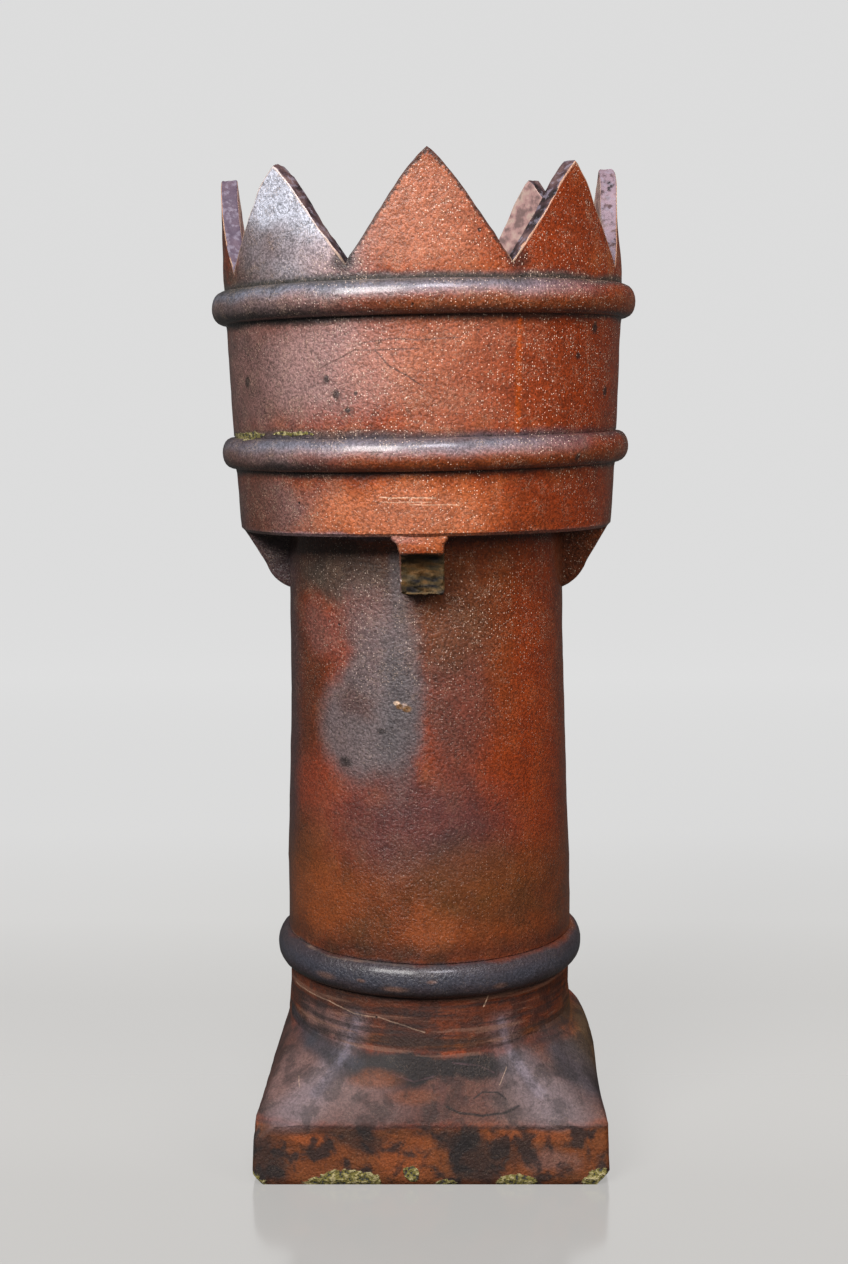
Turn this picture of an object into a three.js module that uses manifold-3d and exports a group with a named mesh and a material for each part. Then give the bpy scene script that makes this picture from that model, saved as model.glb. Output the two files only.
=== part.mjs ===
// A crown chimney pot of salt-glazed stoneware, one fired piece.
//
// A square plinth turns into a round shaft through four flat flanks and four corner facets. The
// shaft carries a wider collar on four radial webs, with an open vent between the two, and the
// collar ends in a crown of pointed teeth. The front web is broken, and a front corner is chipped.
//
// Millimetres, +Z up. The origin is the middle of the underside, and the broken web faces -Y.
// An azimuth is measured round +Z from the front (-Y) towards +X.

import * as THREE from 'three';
import { mergeVertices } from 'three/addons/utils/BufferGeometryUtils.js';
import Module from 'manifold-3d';

const wasm = await Module();
wasm.setup();

const degree = Math.PI / 180;
const potHeight = 914;

// Plinth
const plinthFootHalf = 162;
const plinthTopHalf = 160;
const plinthHeight = 56;
const plinthCornerRadius = 6;
const footWearInset = 2.5;
const footWearHeight = 8;
const footWearCornerRadius = 18;
const baseWall = 25;

// Broach, where the square turns round
const broachHeight = 61;
const neckFootRadius = 138.5;
const frontFlankTopHalf = 80;
const sideFlankTopHalf = 50;
const broachFlare = 1.2;
const shoulderBulge = 8;

// Neck and foot bead
const neckRadius = 136;
const neckHeight = 48;
const footBeadHeight = 34;
const footBeadProud = 11.5;

// Shaft
const shaftFootRadius = 137;
const shaftTopRadius = 130.5;
const shaftWall = 22;
const taperStart = 270;
const taperEnd = 520;
const shaftTop = 655;

// Collar and its two beads
const collarFoot = 589;
const collarFootRadius = 175;
const collarTopRadius = 186;
const collarWall = 15;
const lipChamfer = 4;
const lowerBeadCentre = 661;
const lowerBeadHeight = 32;
const lowerBeadProud = 12;
const upperBeadCentre = 794;
const upperBeadHeight = 34;
const upperBeadProud = 13;

// Crown
const toothCount = 8;
const valleyHeight = 824;
const bluntLength = 18;
const bluntHalfWidth = 19;
const tipHalfWidth = 3;
const crownTurn = 1.9 * degree;

// Webs under the collar
const webCount = 4;
const webWidth = 39;
const webTurn = -1 * degree;
const webDrop = 61;
const webKneeRise = 18;
const webKneeReach = 19;
const webLipInset = 3;
const brokenWebDrop = 50;
const brokenWebRecess = 13;
const breakDepth = 14;

// Chipped corner of the plinth, front left
const chipAlong = 22;
const chipBack = 20;
const chipDown = 16;

// Fineness of the facets
const flankSteps = 5;
const cornerSteps = 5;
const sideSteps = 4;
const beadSteps = 6;
const broachSteps = 5;
const shaftSteps = 6;
const overrun = 12;

const columnsPerQuarter = flankSteps + cornerSteps + sideSteps;
const columnCount = 4 * columnsPerQuarter;
const neckFoot = plinthHeight + broachHeight;
const footBeadFoot = neckFoot + neckHeight;
const footBeadTop = footBeadFoot + footBeadHeight;
const frontRidge = Math.asin(frontFlankTopHalf / neckFootRadius);
const sideRidge = Math.acos(sideFlankTopHalf / neckFootRadius);

const clay = new THREE.MeshStandardMaterial({ color: 0x7d3a22, roughness: 0.42, metalness: 0 });

// Turns a closed geometry into a solid that can be joined and cut.
function solidOf(geometry) {
  const plain = geometry.clone();
  plain.deleteAttribute('normal');
  plain.deleteAttribute('uv');
  const merged = mergeVertices(plain, 1e-3);
  const vertProperties = new Float32Array(merged.attributes.position.array);
  const triVerts = new Uint32Array(merged.index.array);
  return new wasm.Manifold(new wasm.Mesh({ numProp: 3, vertProperties, triVerts }));
}

function geometryOf(solid) {
  const mesh = solid.getMesh();
  const geometry = new THREE.BufferGeometry();
  geometry.setAttribute('position', new THREE.BufferAttribute(new Float32Array(mesh.vertProperties), 3));
  geometry.setIndex(new THREE.BufferAttribute(new Uint32Array(mesh.triVerts), 1));
  geometry.computeVertexNormals();
  return geometry;
}

// The azimuths of one ring of points. The ridges of the broach fall on points of the ring.
function ringAzimuths() {
  const quarter = [];
  for (let i = 0; i < flankSteps; i++) quarter.push(frontRidge * i / flankSteps);
  for (let i = 0; i < cornerSteps; i++) quarter.push(frontRidge + (sideRidge - frontRidge) * i / cornerSteps);
  for (let i = 0; i < sideSteps; i++) quarter.push(sideRidge + (Math.PI / 2 - sideRidge) * i / sideSteps);
  const firstHalf = [...quarter, Math.PI / 2, ...quarter.slice(1).reverse().map((a) => Math.PI - a)];
  return [...firstHalf, ...firstHalf.map((a) => a + Math.PI)];
}

const azimuths = ringAzimuths();

function circlePoint(radius, azimuth) {
  return new THREE.Vector2(radius * Math.sin(azimuth), -radius * Math.cos(azimuth));
}

// A point of a square with round corners. Flank and corner points share their azimuths with a circle.
function squarePoint(half, cornerRadius, azimuth) {
  const across = Math.abs(Math.sin(azimuth));
  const along = Math.abs(Math.cos(azimuth));
  const acute = Math.atan2(across, along);
  const straight = half - cornerRadius;
  const share = THREE.MathUtils.clamp((acute - frontRidge) / (sideRidge - frontRidge), 0, 1);
  const x = acute < frontRidge
    ? straight * across / Math.sin(frontRidge)
    : straight + cornerRadius * Math.sin(share * Math.PI / 2);
  const y = acute > sideRidge
    ? straight * along / Math.cos(sideRidge)
    : straight + cornerRadius * Math.cos(share * Math.PI / 2);
  return new THREE.Vector2(Math.sign(Math.sin(azimuth)) * x, -Math.sign(Math.cos(azimuth)) * y);
}

const circleRing = (radius, z) => azimuths.map((a) => {
  const point = circlePoint(radius, a);
  return new THREE.Vector3(point.x, point.y, z);
});

const squareRing = (half, cornerRadius, z) => azimuths.map((a) => {
  const point = squarePoint(half, cornerRadius, a);
  return new THREE.Vector3(point.x, point.y, z);
});

// The right flank stands proud in a shoulder just under the neck.
function shoulderAt(azimuth, rise) {
  const sideways = THREE.MathUtils.smoothstep(Math.sin(azimuth), Math.sin(sideRidge), 1);
  const upwards = THREE.MathUtils.smoothstep(rise, 0, 0.7);
  const cutOff = 1 - THREE.MathUtils.smoothstep(rise, 0.85, 1.05);
  return shoulderBulge * Math.sqrt(sideways) * upwards * cutOff;
}

// The rings between a square at the plinth's top and a circle at the neck's foot.
function broachRings(half, cornerRadius, radius, bulged) {
  const rings = [];
  for (let step = 1; step <= broachSteps; step++) {
    const rise = step / broachSteps;
    const towardsRound = rise ** broachFlare;
    rings.push(azimuths.map((a) => {
      const point = squarePoint(half, cornerRadius, a).lerp(circlePoint(radius, a), towardsRound);
      const bulge = bulged ? shoulderAt(a, rise) : 0;
      return new THREE.Vector3(point.x + bulge, point.y, plinthHeight + broachHeight * rise);
    }));
  }
  return rings;
}

// A closed skin through rings of equal length, from the lowest ring to the highest.
function loft(rings) {
  const count = rings[0].length;
  const positions = rings.flat().flatMap((p) => [p.x, p.y, p.z]);
  const index = [];
  for (let r = 0; r < rings.length - 1; r++) {
    for (let i = 0; i < count; i++) {
      const a = r * count + i;
      const b = r * count + (i + 1) % count;
      index.push(a, b, b + count, a, b + count, a + count);
    }
  }
  const foot = positions.length / 3;
  const top = foot + 1;
  const topStart = (rings.length - 1) * count;
  positions.push(0, 0, rings[0][0].z, 0, 0, rings[rings.length - 1][0].z);
  for (let i = 0; i < count; i++) {
    const next = (i + 1) % count;
    index.push(foot, next, i, top, topStart + i, topStart + next);
  }
  const geometry = new THREE.BufferGeometry();
  geometry.setAttribute('position', new THREE.BufferAttribute(new Float32Array(positions), 3));
  geometry.setIndex(index);
  return geometry;
}

// Radius and height along a half-round bead, from its foot to its top.
function beadProfile(radiusAt, centre, height, proud) {
  const points = [];
  for (let step = 0; step <= beadSteps; step++) {
    const turn = -Math.PI / 2 + Math.PI * step / beadSteps;
    const z = centre + height / 2 * Math.sin(turn);
    points.push(new THREE.Vector2(radiusAt(z) + proud * Math.cos(turn), z));
  }
  return points;
}

// The shaft tapers quickly above the foot and runs nearly straight higher up.
function shaftRadius(z) {
  const left = 1 - THREE.MathUtils.clamp((z - taperStart) / (taperEnd - taperStart), 0, 1);
  return shaftTopRadius + (shaftFootRadius - shaftTopRadius) * left ** 2;
}

function collarRadius(z) {
  const share = THREE.MathUtils.clamp((z - collarFoot) / (valleyHeight - collarFoot), 0, 1);
  return THREE.MathUtils.lerp(collarFootRadius, collarTopRadius, share ** 0.8);
}

function shaftHeights() {
  const heights = [];
  for (let step = 0; step <= shaftSteps; step++) heights.push(taperStart + (taperEnd - taperStart) * step / shaftSteps);
  return [...heights, shaftTop];
}

function outerBody() {
  const footBead = beadProfile(() => neckRadius, footBeadFoot + footBeadHeight / 2, footBeadHeight, footBeadProud);
  return solidOf(loft([
    squareRing(plinthFootHalf - footWearInset, footWearCornerRadius, 0),
    squareRing(plinthFootHalf, plinthCornerRadius, footWearHeight),
    squareRing(plinthTopHalf, plinthCornerRadius, plinthHeight),
    ...broachRings(plinthTopHalf, plinthCornerRadius, neckFootRadius, true),
    circleRing(neckRadius, neckFoot + neckHeight / 2),
    ...footBead.map((p) => circleRing(p.x, p.y)),
    circleRing(shaftFootRadius, footBeadTop + 1),
    ...shaftHeights().map((z) => circleRing(shaftRadius(z), z)),
  ]));
}

function flue() {
  const cornerRadius = plinthCornerRadius * 2;
  return solidOf(loft([
    squareRing(plinthFootHalf - baseWall, cornerRadius, -overrun),
    squareRing(plinthTopHalf - baseWall, cornerRadius, plinthHeight),
    ...broachRings(plinthTopHalf - baseWall, cornerRadius, neckFootRadius - baseWall, false),
    circleRing(neckRadius - shaftWall, footBeadFoot),
    ...shaftHeights().map((z) => circleRing(shaftRadius(z) - shaftWall, z)),
    circleRing(shaftRadius(shaftTop) - shaftWall, shaftTop + overrun),
  ]));
}

function collarRing() {
  const innerRadius = (z) => collarRadius(z) - collarWall;
  const profile = [
    new THREE.Vector2(innerRadius(collarFoot), collarFoot),
    new THREE.Vector2(collarRadius(collarFoot) - lipChamfer / 2, collarFoot),
    new THREE.Vector2(collarRadius(collarFoot), collarFoot + lipChamfer),
    ...beadProfile(collarRadius, lowerBeadCentre, lowerBeadHeight, lowerBeadProud),
    ...beadProfile(collarRadius, upperBeadCentre, upperBeadHeight, upperBeadProud),
    new THREE.Vector2(collarTopRadius, valleyHeight),
    new THREE.Vector2(collarTopRadius, potHeight),
    new THREE.Vector2(collarTopRadius - collarWall, potHeight),
    new THREE.Vector2(collarTopRadius - collarWall, valleyHeight),
    new THREE.Vector2(innerRadius(collarFoot), collarFoot),
  ];
  return solidOf(new THREE.LatheGeometry(profile, columnCount).rotateX(Math.PI / 2));
}

// Half the width of a tooth at a height: straight edges, blunter just under the tip.
function toothHalfWidth(z) {
  const bluntStart = potHeight - bluntLength;
  const valleyHalf = collarTopRadius * Math.sin(Math.PI / toothCount);
  const { lerp, mapLinear } = THREE.MathUtils;
  if (z < bluntStart) return mapLinear(z, valleyHeight, bluntStart, valleyHalf, bluntHalfWidth);
  return lerp(bluntHalfWidth, tipHalfWidth, Math.min((z - bluntStart) / bluntLength, 1));
}

// The wedge between two teeth, with radial faces.
function notch(azimuth) {
  const halfPitch = Math.PI / toothCount;
  const heights = [valleyHeight, potHeight - bluntLength, potHeight, potHeight + overrun];
  const opening = (z) => halfPitch - Math.asin(toothHalfWidth(z) / collarTopRadius);
  const inner = collarTopRadius - collarWall - overrun;
  const outer = (collarTopRadius + overrun) / Math.cos(halfPitch);
  const edge = (side) => heights.map((z) => [azimuth + side * Math.max(opening(z), 0), z]);
  const outline = [...edge(-1), ...edge(1).reverse().slice(0, -1)];
  const ringAt = (radius) => outline.map(([a, z]) => {
    const point = circlePoint(radius, a);
    return new THREE.Vector3(point.x, point.y, z);
  });
  return solidOf(prism(ringAt(outer), ringAt(inner)));
}

// A closed solid between two outlines of equal length, each seen as a flat fan.
function prism(near, far) {
  const count = near.length;
  const positions = [...near, ...far].flatMap((p) => [p.x, p.y, p.z]);
  const index = [];
  for (let i = 0; i < count; i++) {
    const next = (i + 1) % count;
    index.push(i, next, next + count, i, next + count, i + count);
  }
  // The outlines mirror about their middle, so each cap is a strip across them.
  for (let i = 0; i < count / 2 - 1; i++) {
    const left = [i, i + 1];
    const right = [(count - i) % count, count - 1 - i];
    capQuad(index, left[0], left[1], right[1], right[0], count);
  }
  const geometry = new THREE.BufferGeometry();
  geometry.setAttribute('position', new THREE.BufferAttribute(new Float32Array(positions), 3));
  geometry.setIndex(index);
  return geometry;
}

function capQuad(index, a, b, c, d, offset) {
  const triangles = [[a, b, c], [a, c, d]].filter((t) => new Set(t).size === 3);
  for (const [i, j, k] of triangles) index.push(k, j, i, i + offset, j + offset, k + offset);
}

function crown() {
  let ring = collarRing();
  for (let i = 0; i < toothCount; i++) {
    const azimuth = crownTurn + (i + 0.5) * 2 * Math.PI / toothCount;
    ring = ring.subtract(notch(azimuth));
  }
  return ring;
}

// A web stands on the shaft and carries the collar. Its outline is drawn as radius and height.
function web(azimuth, broken) {
  const rootRadius = shaftTopRadius - shaftWall / 2;
  const lipRadius = collarFootRadius - webLipInset;
  const topRadius = collarRadius(shaftTop) - collarWall / 2;
  const outline = new THREE.Shape();
  const toe = collarFoot - (broken ? brokenWebDrop : webDrop);
  outline.moveTo(rootRadius, toe);
  outline.lineTo(shaftRadius(toe), toe);
  if (broken) {
    const breakTop = collarFoot - breakDepth;
    outline.lineTo(shaftTopRadius + webKneeReach, toe);
    outline.lineTo(lipRadius - brokenWebRecess, breakTop);
    outline.lineTo(lipRadius - webLipInset, breakTop);
  } else {
    const knee = toe + webKneeRise;
    outline.quadraticCurveTo(shaftTopRadius + webKneeReach * 0.7, toe, shaftTopRadius + webKneeReach, knee);
  }
  outline.lineTo(lipRadius, collarFoot);
  outline.lineTo(topRadius, shaftTop);
  outline.lineTo(rootRadius, shaftTop);
  outline.closePath();
  const geometry = new THREE.ExtrudeGeometry(outline, { depth: webWidth, bevelEnabled: false, curveSegments: 4 });
  geometry.translate(0, 0, -webWidth / 2);
  geometry.rotateX(Math.PI / 2);
  geometry.rotateZ(azimuth - Math.PI / 2);
  return solidOf(geometry);
}

function webs() {
  const all = [];
  for (let i = 0; i < webCount; i++) all.push(web(webTurn + i * 2 * Math.PI / webCount, i === 0));
  return all;
}

// A block whose near face takes the chip off the plinth's front left corner.
function chip() {
  const corner = new THREE.Vector3(-plinthTopHalf, -plinthTopHalf, plinthHeight);
  const reach = [
    new THREE.Vector3(chipAlong, 0, 0),
    new THREE.Vector3(0, chipBack, 0),
    new THREE.Vector3(0, 0, -chipDown),
  ].map((step) => corner.clone().add(step));
  const facing = new THREE.Plane().setFromCoplanarPoints(...reach).normal;
  if (facing.z < 0) facing.negate();
  const middle = reach[0].clone().add(reach[1]).add(reach[2]).divideScalar(3);
  const side = 2.5 * chipAlong;
  const block = new THREE.BoxGeometry(side, side, side);
  block.applyQuaternion(new THREE.Quaternion().setFromUnitVectors(new THREE.Vector3(0, 0, 1), facing));
  block.translate(...middle.addScaledVector(facing, side / 2).toArray());
  return solidOf(block);
}

function chimneyPot() {
  let pot = outerBody().subtract(chip()).add(crown());
  for (const one of webs()) pot = pot.add(one);
  pot = pot.subtract(flue());
  const mesh = new THREE.Mesh(geometryOf(pot), clay);
  mesh.name = 'chimney_pot';
  return mesh;
}

const model = new THREE.Group();
model.add(chimneyPot());

export default model;
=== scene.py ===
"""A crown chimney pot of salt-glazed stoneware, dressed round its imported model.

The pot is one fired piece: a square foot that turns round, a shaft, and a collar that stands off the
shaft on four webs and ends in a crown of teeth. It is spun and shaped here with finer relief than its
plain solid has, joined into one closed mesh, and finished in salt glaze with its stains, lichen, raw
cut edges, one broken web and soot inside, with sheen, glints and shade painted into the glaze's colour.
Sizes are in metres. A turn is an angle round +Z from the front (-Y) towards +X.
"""

import logging
import math
from dataclasses import dataclass, field
from enum import Enum
from typing import Mapping, Sequence

import bpy
import numpy as np
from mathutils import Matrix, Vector, noise


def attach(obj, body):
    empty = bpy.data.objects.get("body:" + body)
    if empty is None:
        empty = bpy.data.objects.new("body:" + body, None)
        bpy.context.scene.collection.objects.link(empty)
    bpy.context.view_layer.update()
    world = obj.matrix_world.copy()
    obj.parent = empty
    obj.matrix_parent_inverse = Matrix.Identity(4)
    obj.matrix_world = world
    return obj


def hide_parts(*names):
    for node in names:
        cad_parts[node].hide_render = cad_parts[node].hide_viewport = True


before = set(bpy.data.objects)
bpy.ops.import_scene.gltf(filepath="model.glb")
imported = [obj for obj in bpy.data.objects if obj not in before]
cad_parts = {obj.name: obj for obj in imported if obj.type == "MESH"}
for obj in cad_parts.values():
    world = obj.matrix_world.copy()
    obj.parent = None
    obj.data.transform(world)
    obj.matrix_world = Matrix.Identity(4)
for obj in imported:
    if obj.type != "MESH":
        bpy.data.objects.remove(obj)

LOG = logging.getLogger("chimney_pot")
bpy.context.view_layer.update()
NODE = "chimney_pot"
RIM = "below_rim"
IMAGE_LONG_SIDE = 1264
WELD = 1e-5
TINY = 1e-6
SHARP_EDGE = math.radians(30)
Colour = tuple[float, float, float]
Points = np.ndarray


class Face(Enum):
    """The finishes of the pot, in the order of its material slots."""

    GLAZE = 0
    CUT = 1
    BROKEN = 2
    INSIDE = 3


# Small sums on numbers and arrays


def smooth_step(low: float, high: float, value: Points) -> Points:
    """Rises smoothly from 0 at low to 1 at high."""
    share = np.clip((value - low) / (high - low), 0.0, 1.0)
    return share * share * (3.0 - 2.0 * share)


def blend(start: Points, end: Points, share: Points) -> Points:
    """Mixes two values or arrays."""
    return start + (end - start) * share


def run(start: tuple[float, float], end: tuple[float, float], steps: int) -> list[tuple[float, float]]:
    """Evenly spaced points from start up to, but without, end.

    Args:
        start: Radius and height where the run starts.
        end: Radius and height where it ends.
        steps: Number of points.

    Returns:
        The points of the run.
    """
    shares = [i / steps for i in range(steps)]
    return [(blend(start[0], end[0], s), blend(start[1], end[1], s)) for s in shares]


def lumps(points: Points, scale: float, seed: float, octaves: int = 2) -> Points:
    """Smooth noise at each point, about -1 to 1.

    Args:
        points: An array of places, one row each.
        scale: Size of a lump in metres.
        seed: Moves the pattern, so that two uses differ.
        octaves: Number of finer layers.

    Returns:
        One value for each place.
    """
    moved = points / scale + seed
    return np.array([noise.fractal(Vector(p), 0.6, 2.0, octaves) for p in moved])


# Work on the bench: each function ends in object mode


def deselect_all() -> None:
    """Leaves nothing selected, so that an operator acts on its own piece alone."""
    bpy.ops.object.select_all(action="DESELECT")


def take(piece: bpy.types.Object) -> None:
    """Selects one piece and makes it the active one.

    Args:
        piece: The piece.
    """
    deselect_all()
    piece.select_set(True)
    bpy.context.view_layer.objects.active = piece


def places(piece: bpy.types.Object) -> Points:
    """Reads where a piece's vertices are.

    Args:
        piece: The piece.

    Returns:
        The places, one row each.
    """
    flat = np.empty(len(piece.data.vertices) * 3)
    piece.data.vertices.foreach_get("co", flat)
    return flat.reshape(-1, 3)


def put(piece: bpy.types.Object, points: Points) -> None:
    """Moves a piece's vertices to new places."""
    piece.data.vertices.foreach_set("co", points.ravel())
    piece.data.update()


def draw_outline(name: str, outline: Sequence[tuple[float, float]]) -> bpy.types.Object:
    """Draws a closed line in the XZ plane.

    Args:
        name: Name of the new piece.
        outline: Radius and height of each corner, in order.

    Returns:
        The piece, a ring of edges without a face.
    """
    deselect_all()
    bpy.ops.mesh.primitive_circle_add(vertices=len(outline), radius=1.0, fill_type="NOTHING")
    piece = bpy.context.object
    piece.name = name
    piece.data.name = name
    put(piece, np.array([(r, 0.0, z) for r, z in outline]))
    return piece


def spin_round(piece: bpy.types.Object, columns: int) -> None:
    """Turns a closed profile all the way round +Z, into a closed skin.

    Args:
        piece: The profile, drawn in the XZ plane.
        columns: Number of columns round it.
    """
    take(piece)
    bpy.ops.object.mode_set(mode="EDIT")
    bpy.ops.mesh.select_all(action="SELECT")
    bpy.ops.mesh.spin(steps=columns, angle=math.tau, center=(0, 0, 0), axis=(0, 0, 1))
    bpy.ops.mesh.select_all(action="SELECT")
    bpy.ops.mesh.remove_doubles(threshold=WELD)
    bpy.ops.mesh.normals_make_consistent(inside=False)
    bpy.ops.object.mode_set(mode="OBJECT")


def apply_all(piece: bpy.types.Object) -> None:
    """Applies every modifier of a piece, in order.

    Args:
        piece: The piece.
    """
    take(piece)
    for name in [m.name for m in piece.modifiers]:
        bpy.ops.object.modifier_apply(modifier=name)


def join_solid(piece: bpy.types.Object, other: bpy.types.Object) -> None:
    """Joins another closed mesh to a piece, as clay is luted, and removes the other.

    Args:
        piece: The piece that stays.
        other: The closed mesh that is joined to it.
    """
    union = piece.modifiers.new("join", "BOOLEAN")
    union.operation = "UNION"
    union.solver = "MANIFOLD"
    union.object = other
    apply_all(piece)
    bpy.data.objects.remove(other)


# The pot's own pieces


@dataclass
class Knock:
    """A corner or edge knocked off along a plane, near one point."""

    point: tuple[float, float, float]
    facing: tuple[float, float, float]
    roughness: float = 0.0006
    reach: float = 0.05
    grain: float = 0.006

    def strike(self, points: Points) -> None:
        """Pushes everything beyond the plane back to it, with a slightly uneven face.

        Args:
            points: The places to change, one row each.
        """
        facing = np.array(Vector(self.facing).normalized())
        offset = points - np.array(self.point)
        beyond = offset @ facing
        hit = (beyond > 0) & (np.linalg.norm(offset, axis=1) < self.reach)
        if not hit.any():
            return
        uneven = self.roughness * lumps(points[hit], self.grain, 3.7)
        points[hit] -= (beyond[hit] + uneven)[:, None] * facing


@dataclass
class FootAndShaft:
    """The square foot, the broach that turns it round, the neck, its bead and the shaft, all hollow."""

    columns: int = 288
    foot_half: float = 0.1635
    plinth_half: float = 0.1615
    plinth_height: float = 0.056
    plinth_corner: float = 0.006
    foot_wear: float = 0.0025
    wear_height: float = 0.008
    base_wall: float = 0.025
    broach_height: float = 0.061
    broach_flare: float = 1.06
    neck_foot_radius: float = 0.1385
    flank_top_half: float = 0.080
    flank_foot_half: float = 0.108
    side_top_half: float = 0.050
    corner_rise: float = 0.007
    side_drop: float = 0.011
    left_turns: tuple[float, float] = (0.45, 1.2)
    left_draw: float = 0.033
    corner_share: float = 0.85
    shoulder: float = 0.010
    shoulder_start: tuple[float, float] = (0.0, 0.6)
    shoulder_end: tuple[float, float] = (0.78, 0.95)
    skin_depth: float = 0.006
    arris: float = 0.0012
    neck_radius: float = 0.136
    bead_foot: float = 0.1675
    bead_height: float = 0.0315
    bead_proud: float = 0.0115
    bead_gap: float = 0.001
    shaft_foot_radius: float = 0.137
    shaft_top_radius: float = 0.1305
    taper_start: float = 0.270
    taper_end: float = 0.520
    shaft_top: float = 0.655
    shaft_wall: float = 0.022
    rim_drop: float = 0.002
    rim_round: float = 0.003

    @property
    def neck_foot(self) -> float:
        """Height where the square has become round."""
        return self.plinth_height + self.broach_height

    def shaft_radius(self, height: Points) -> Points:
        """Outer radius of the shaft at a height."""
        left = 1.0 - np.clip((height - self.taper_start) / (self.taper_end - self.taper_start), 0.0, 1.0)
        return self.shaft_top_radius + (self.shaft_foot_radius - self.shaft_top_radius) * left**2

    def outer_profile(self) -> list[tuple[float, float]]:
        """Draws the outside of the tube, before its foot is pressed square.

        Returns:
            Radius and height of each row, from the foot to the rim.
        """
        foot = self.neck_foot_radius
        neck_middle = blend(self.neck_foot, self.bead_foot, 0.5)
        bead_top = self.bead_foot + self.bead_height
        below_arris, above_arris = self.plinth_height - self.arris, self.plinth_height + self.arris
        points = run((foot, 0.0), (foot, self.wear_height), 4)
        points += run((foot, self.wear_height), (foot, below_arris), 10)
        points += run((foot, below_arris), (foot, above_arris), 2)
        points += run((foot, above_arris), (foot, self.neck_foot), 16)
        points += run((foot, self.neck_foot), (self.neck_radius, neck_middle), 7)
        points += run((self.neck_radius, neck_middle), (self.neck_radius, self.bead_foot), 6)
        points += half_round(self.neck_radius, self.bead_foot, bead_top, self.bead_proud, 14)
        above_bead = bead_top + self.bead_gap
        points += run((self.shaft_foot_radius, above_bead), (self.shaft_foot_radius, self.taper_start), 9)
        heights = np.linspace(self.taper_start, self.shaft_top - self.rim_drop, 48)
        points += [(float(self.shaft_radius(z)), float(z)) for z in heights]
        return points

    def inner_profile(self) -> list[tuple[float, float]]:
        """Draws the rim, the flue and the underside.

        Returns:
            Radius and height of each row, from the rim down to the foot.
        """
        top = float(self.shaft_radius(self.shaft_top))
        inner_foot = self.neck_foot_radius - self.base_wall
        inner_top = top - self.shaft_wall + self.rim_round
        points = run((top - self.rim_round, self.shaft_top), (inner_top, self.shaft_top), 3)
        heights = np.linspace(self.shaft_top - self.rim_round, self.bead_foot, 22)
        points += [(float(self.shaft_radius(z)) - self.shaft_wall, float(z)) for z in heights]
        points += run((inner_foot, self.neck_foot), (inner_foot, self.plinth_height), 6)
        points += run((inner_foot, self.plinth_height), (inner_foot, 0.0), 4)
        points += run((inner_foot, 0.0), (self.neck_foot_radius, 0.0), 4)
        return points

    def square(self, turn: Points, half: Points, corner: float) -> tuple[Points, Points]:
        """Points of a square with round corners whose flanks end at the broach's ridges.

        Args:
            turn: Turn of each point.
            half: Half the side of the square, for each point.
            corner: Radius of its corners.

        Returns:
            The x and y of each point.
        """
        front_ridge, side_ridge = self.ridges
        across, along = np.abs(np.sin(turn)), np.abs(np.cos(turn))
        acute = np.arctan2(across, along)
        straight = half - corner
        share = np.clip((acute - front_ridge) / (side_ridge - front_ridge), 0.0, 1.0)
        edge = np.clip(share / self.corner_share, 0.0, 1.0)
        bend = np.clip((share - self.corner_share) / (1 - self.corner_share), 0.0, 1.0) * math.pi / 2
        facet_x = blend(self.flank_foot_half, straight, edge) + corner * np.sin(bend)
        facet_y = straight + corner * np.cos(bend)
        x = np.where(acute < front_ridge, self.flank_foot_half * across / math.sin(front_ridge), facet_x)
        y = np.where(acute > side_ridge, straight * along / math.cos(side_ridge), facet_y)
        return np.sign(np.sin(turn)) * x, -np.sign(np.cos(turn)) * y

    @property
    def ridges(self) -> tuple[float, float]:
        """Acute turns where the front and side flanks end at the top of the broach."""
        front = math.asin(self.flank_top_half / self.neck_foot_radius)
        return front, math.acos(self.side_top_half / self.neck_foot_radius)

    def shape_foot(self, points: Points) -> None:
        """Presses the lower end of the spun tube into the square foot.

        Args:
            points: Every place of the body, changed in place.
        """
        low = points[:, 2] < self.neck_foot + self.corner_rise + self.bead_gap
        part = points[low]
        radius = np.hypot(part[:, 0], part[:, 1])
        turn = np.arctan2(part[:, 0], -part[:, 1])
        height = part[:, 2]
        high = height > self.neck_foot + TINY
        outer = radius > self.neck_foot_radius - self.skin_depth
        depth = np.where(high, 0.0, self.neck_foot_radius - radius)
        half = blend(self.foot_half, self.plinth_half, np.clip(height / self.plinth_height, 0, 1)) - depth
        skin = outer & (depth < 0.0005)
        half = np.where(skin, half - self.foot_wear * np.clip(1 - height / self.wear_height, 0, 1) ** 2, half)
        front_ridge, side_ridge = self.ridges
        acute = np.arctan2(np.abs(np.sin(turn)), np.abs(np.cos(turn)))
        facet = smooth_step(front_ridge - 0.1, front_ridge + 0.4, acute)
        facet = facet * smooth_step(side_ridge + 0.3, side_ridge, acute)
        left_side = smooth_step(*self.left_turns, acute) * (np.sin(turn) < 0)
        rise_height = self.broach_height + (self.corner_rise * facet - self.side_drop * left_side) * outer
        rise = np.clip((height - self.plinth_height) / rise_height, 0.0, 1.0)
        rise = np.where(high & ~outer, 1.0, rise)
        x, y = self.square(turn, half, self.plinth_corner)
        round_x, round_y = radius * np.sin(turn), -radius * np.cos(turn)
        share = rise**self.broach_flare
        part[:, 0] = blend(x, round_x, share)
        part[:, 1] = blend(y, round_y, share)
        sideways = np.sqrt(smooth_step(math.sin(side_ridge), 1.0, np.sin(turn)))
        swell = smooth_step(*self.shoulder_start, rise) * (1 - smooth_step(*self.shoulder_end, rise))
        part[:, 0] += np.where(skin, self.shoulder * sideways * swell, 0.0)
        leftness = np.clip(-part[:, 0] / self.foot_half, 0.0, 1.0)
        part[:, 0] += self.left_draw * (part[:, 1] + self.foot_half) * leftness * (1.0 - share)
        points[low] = part

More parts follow.
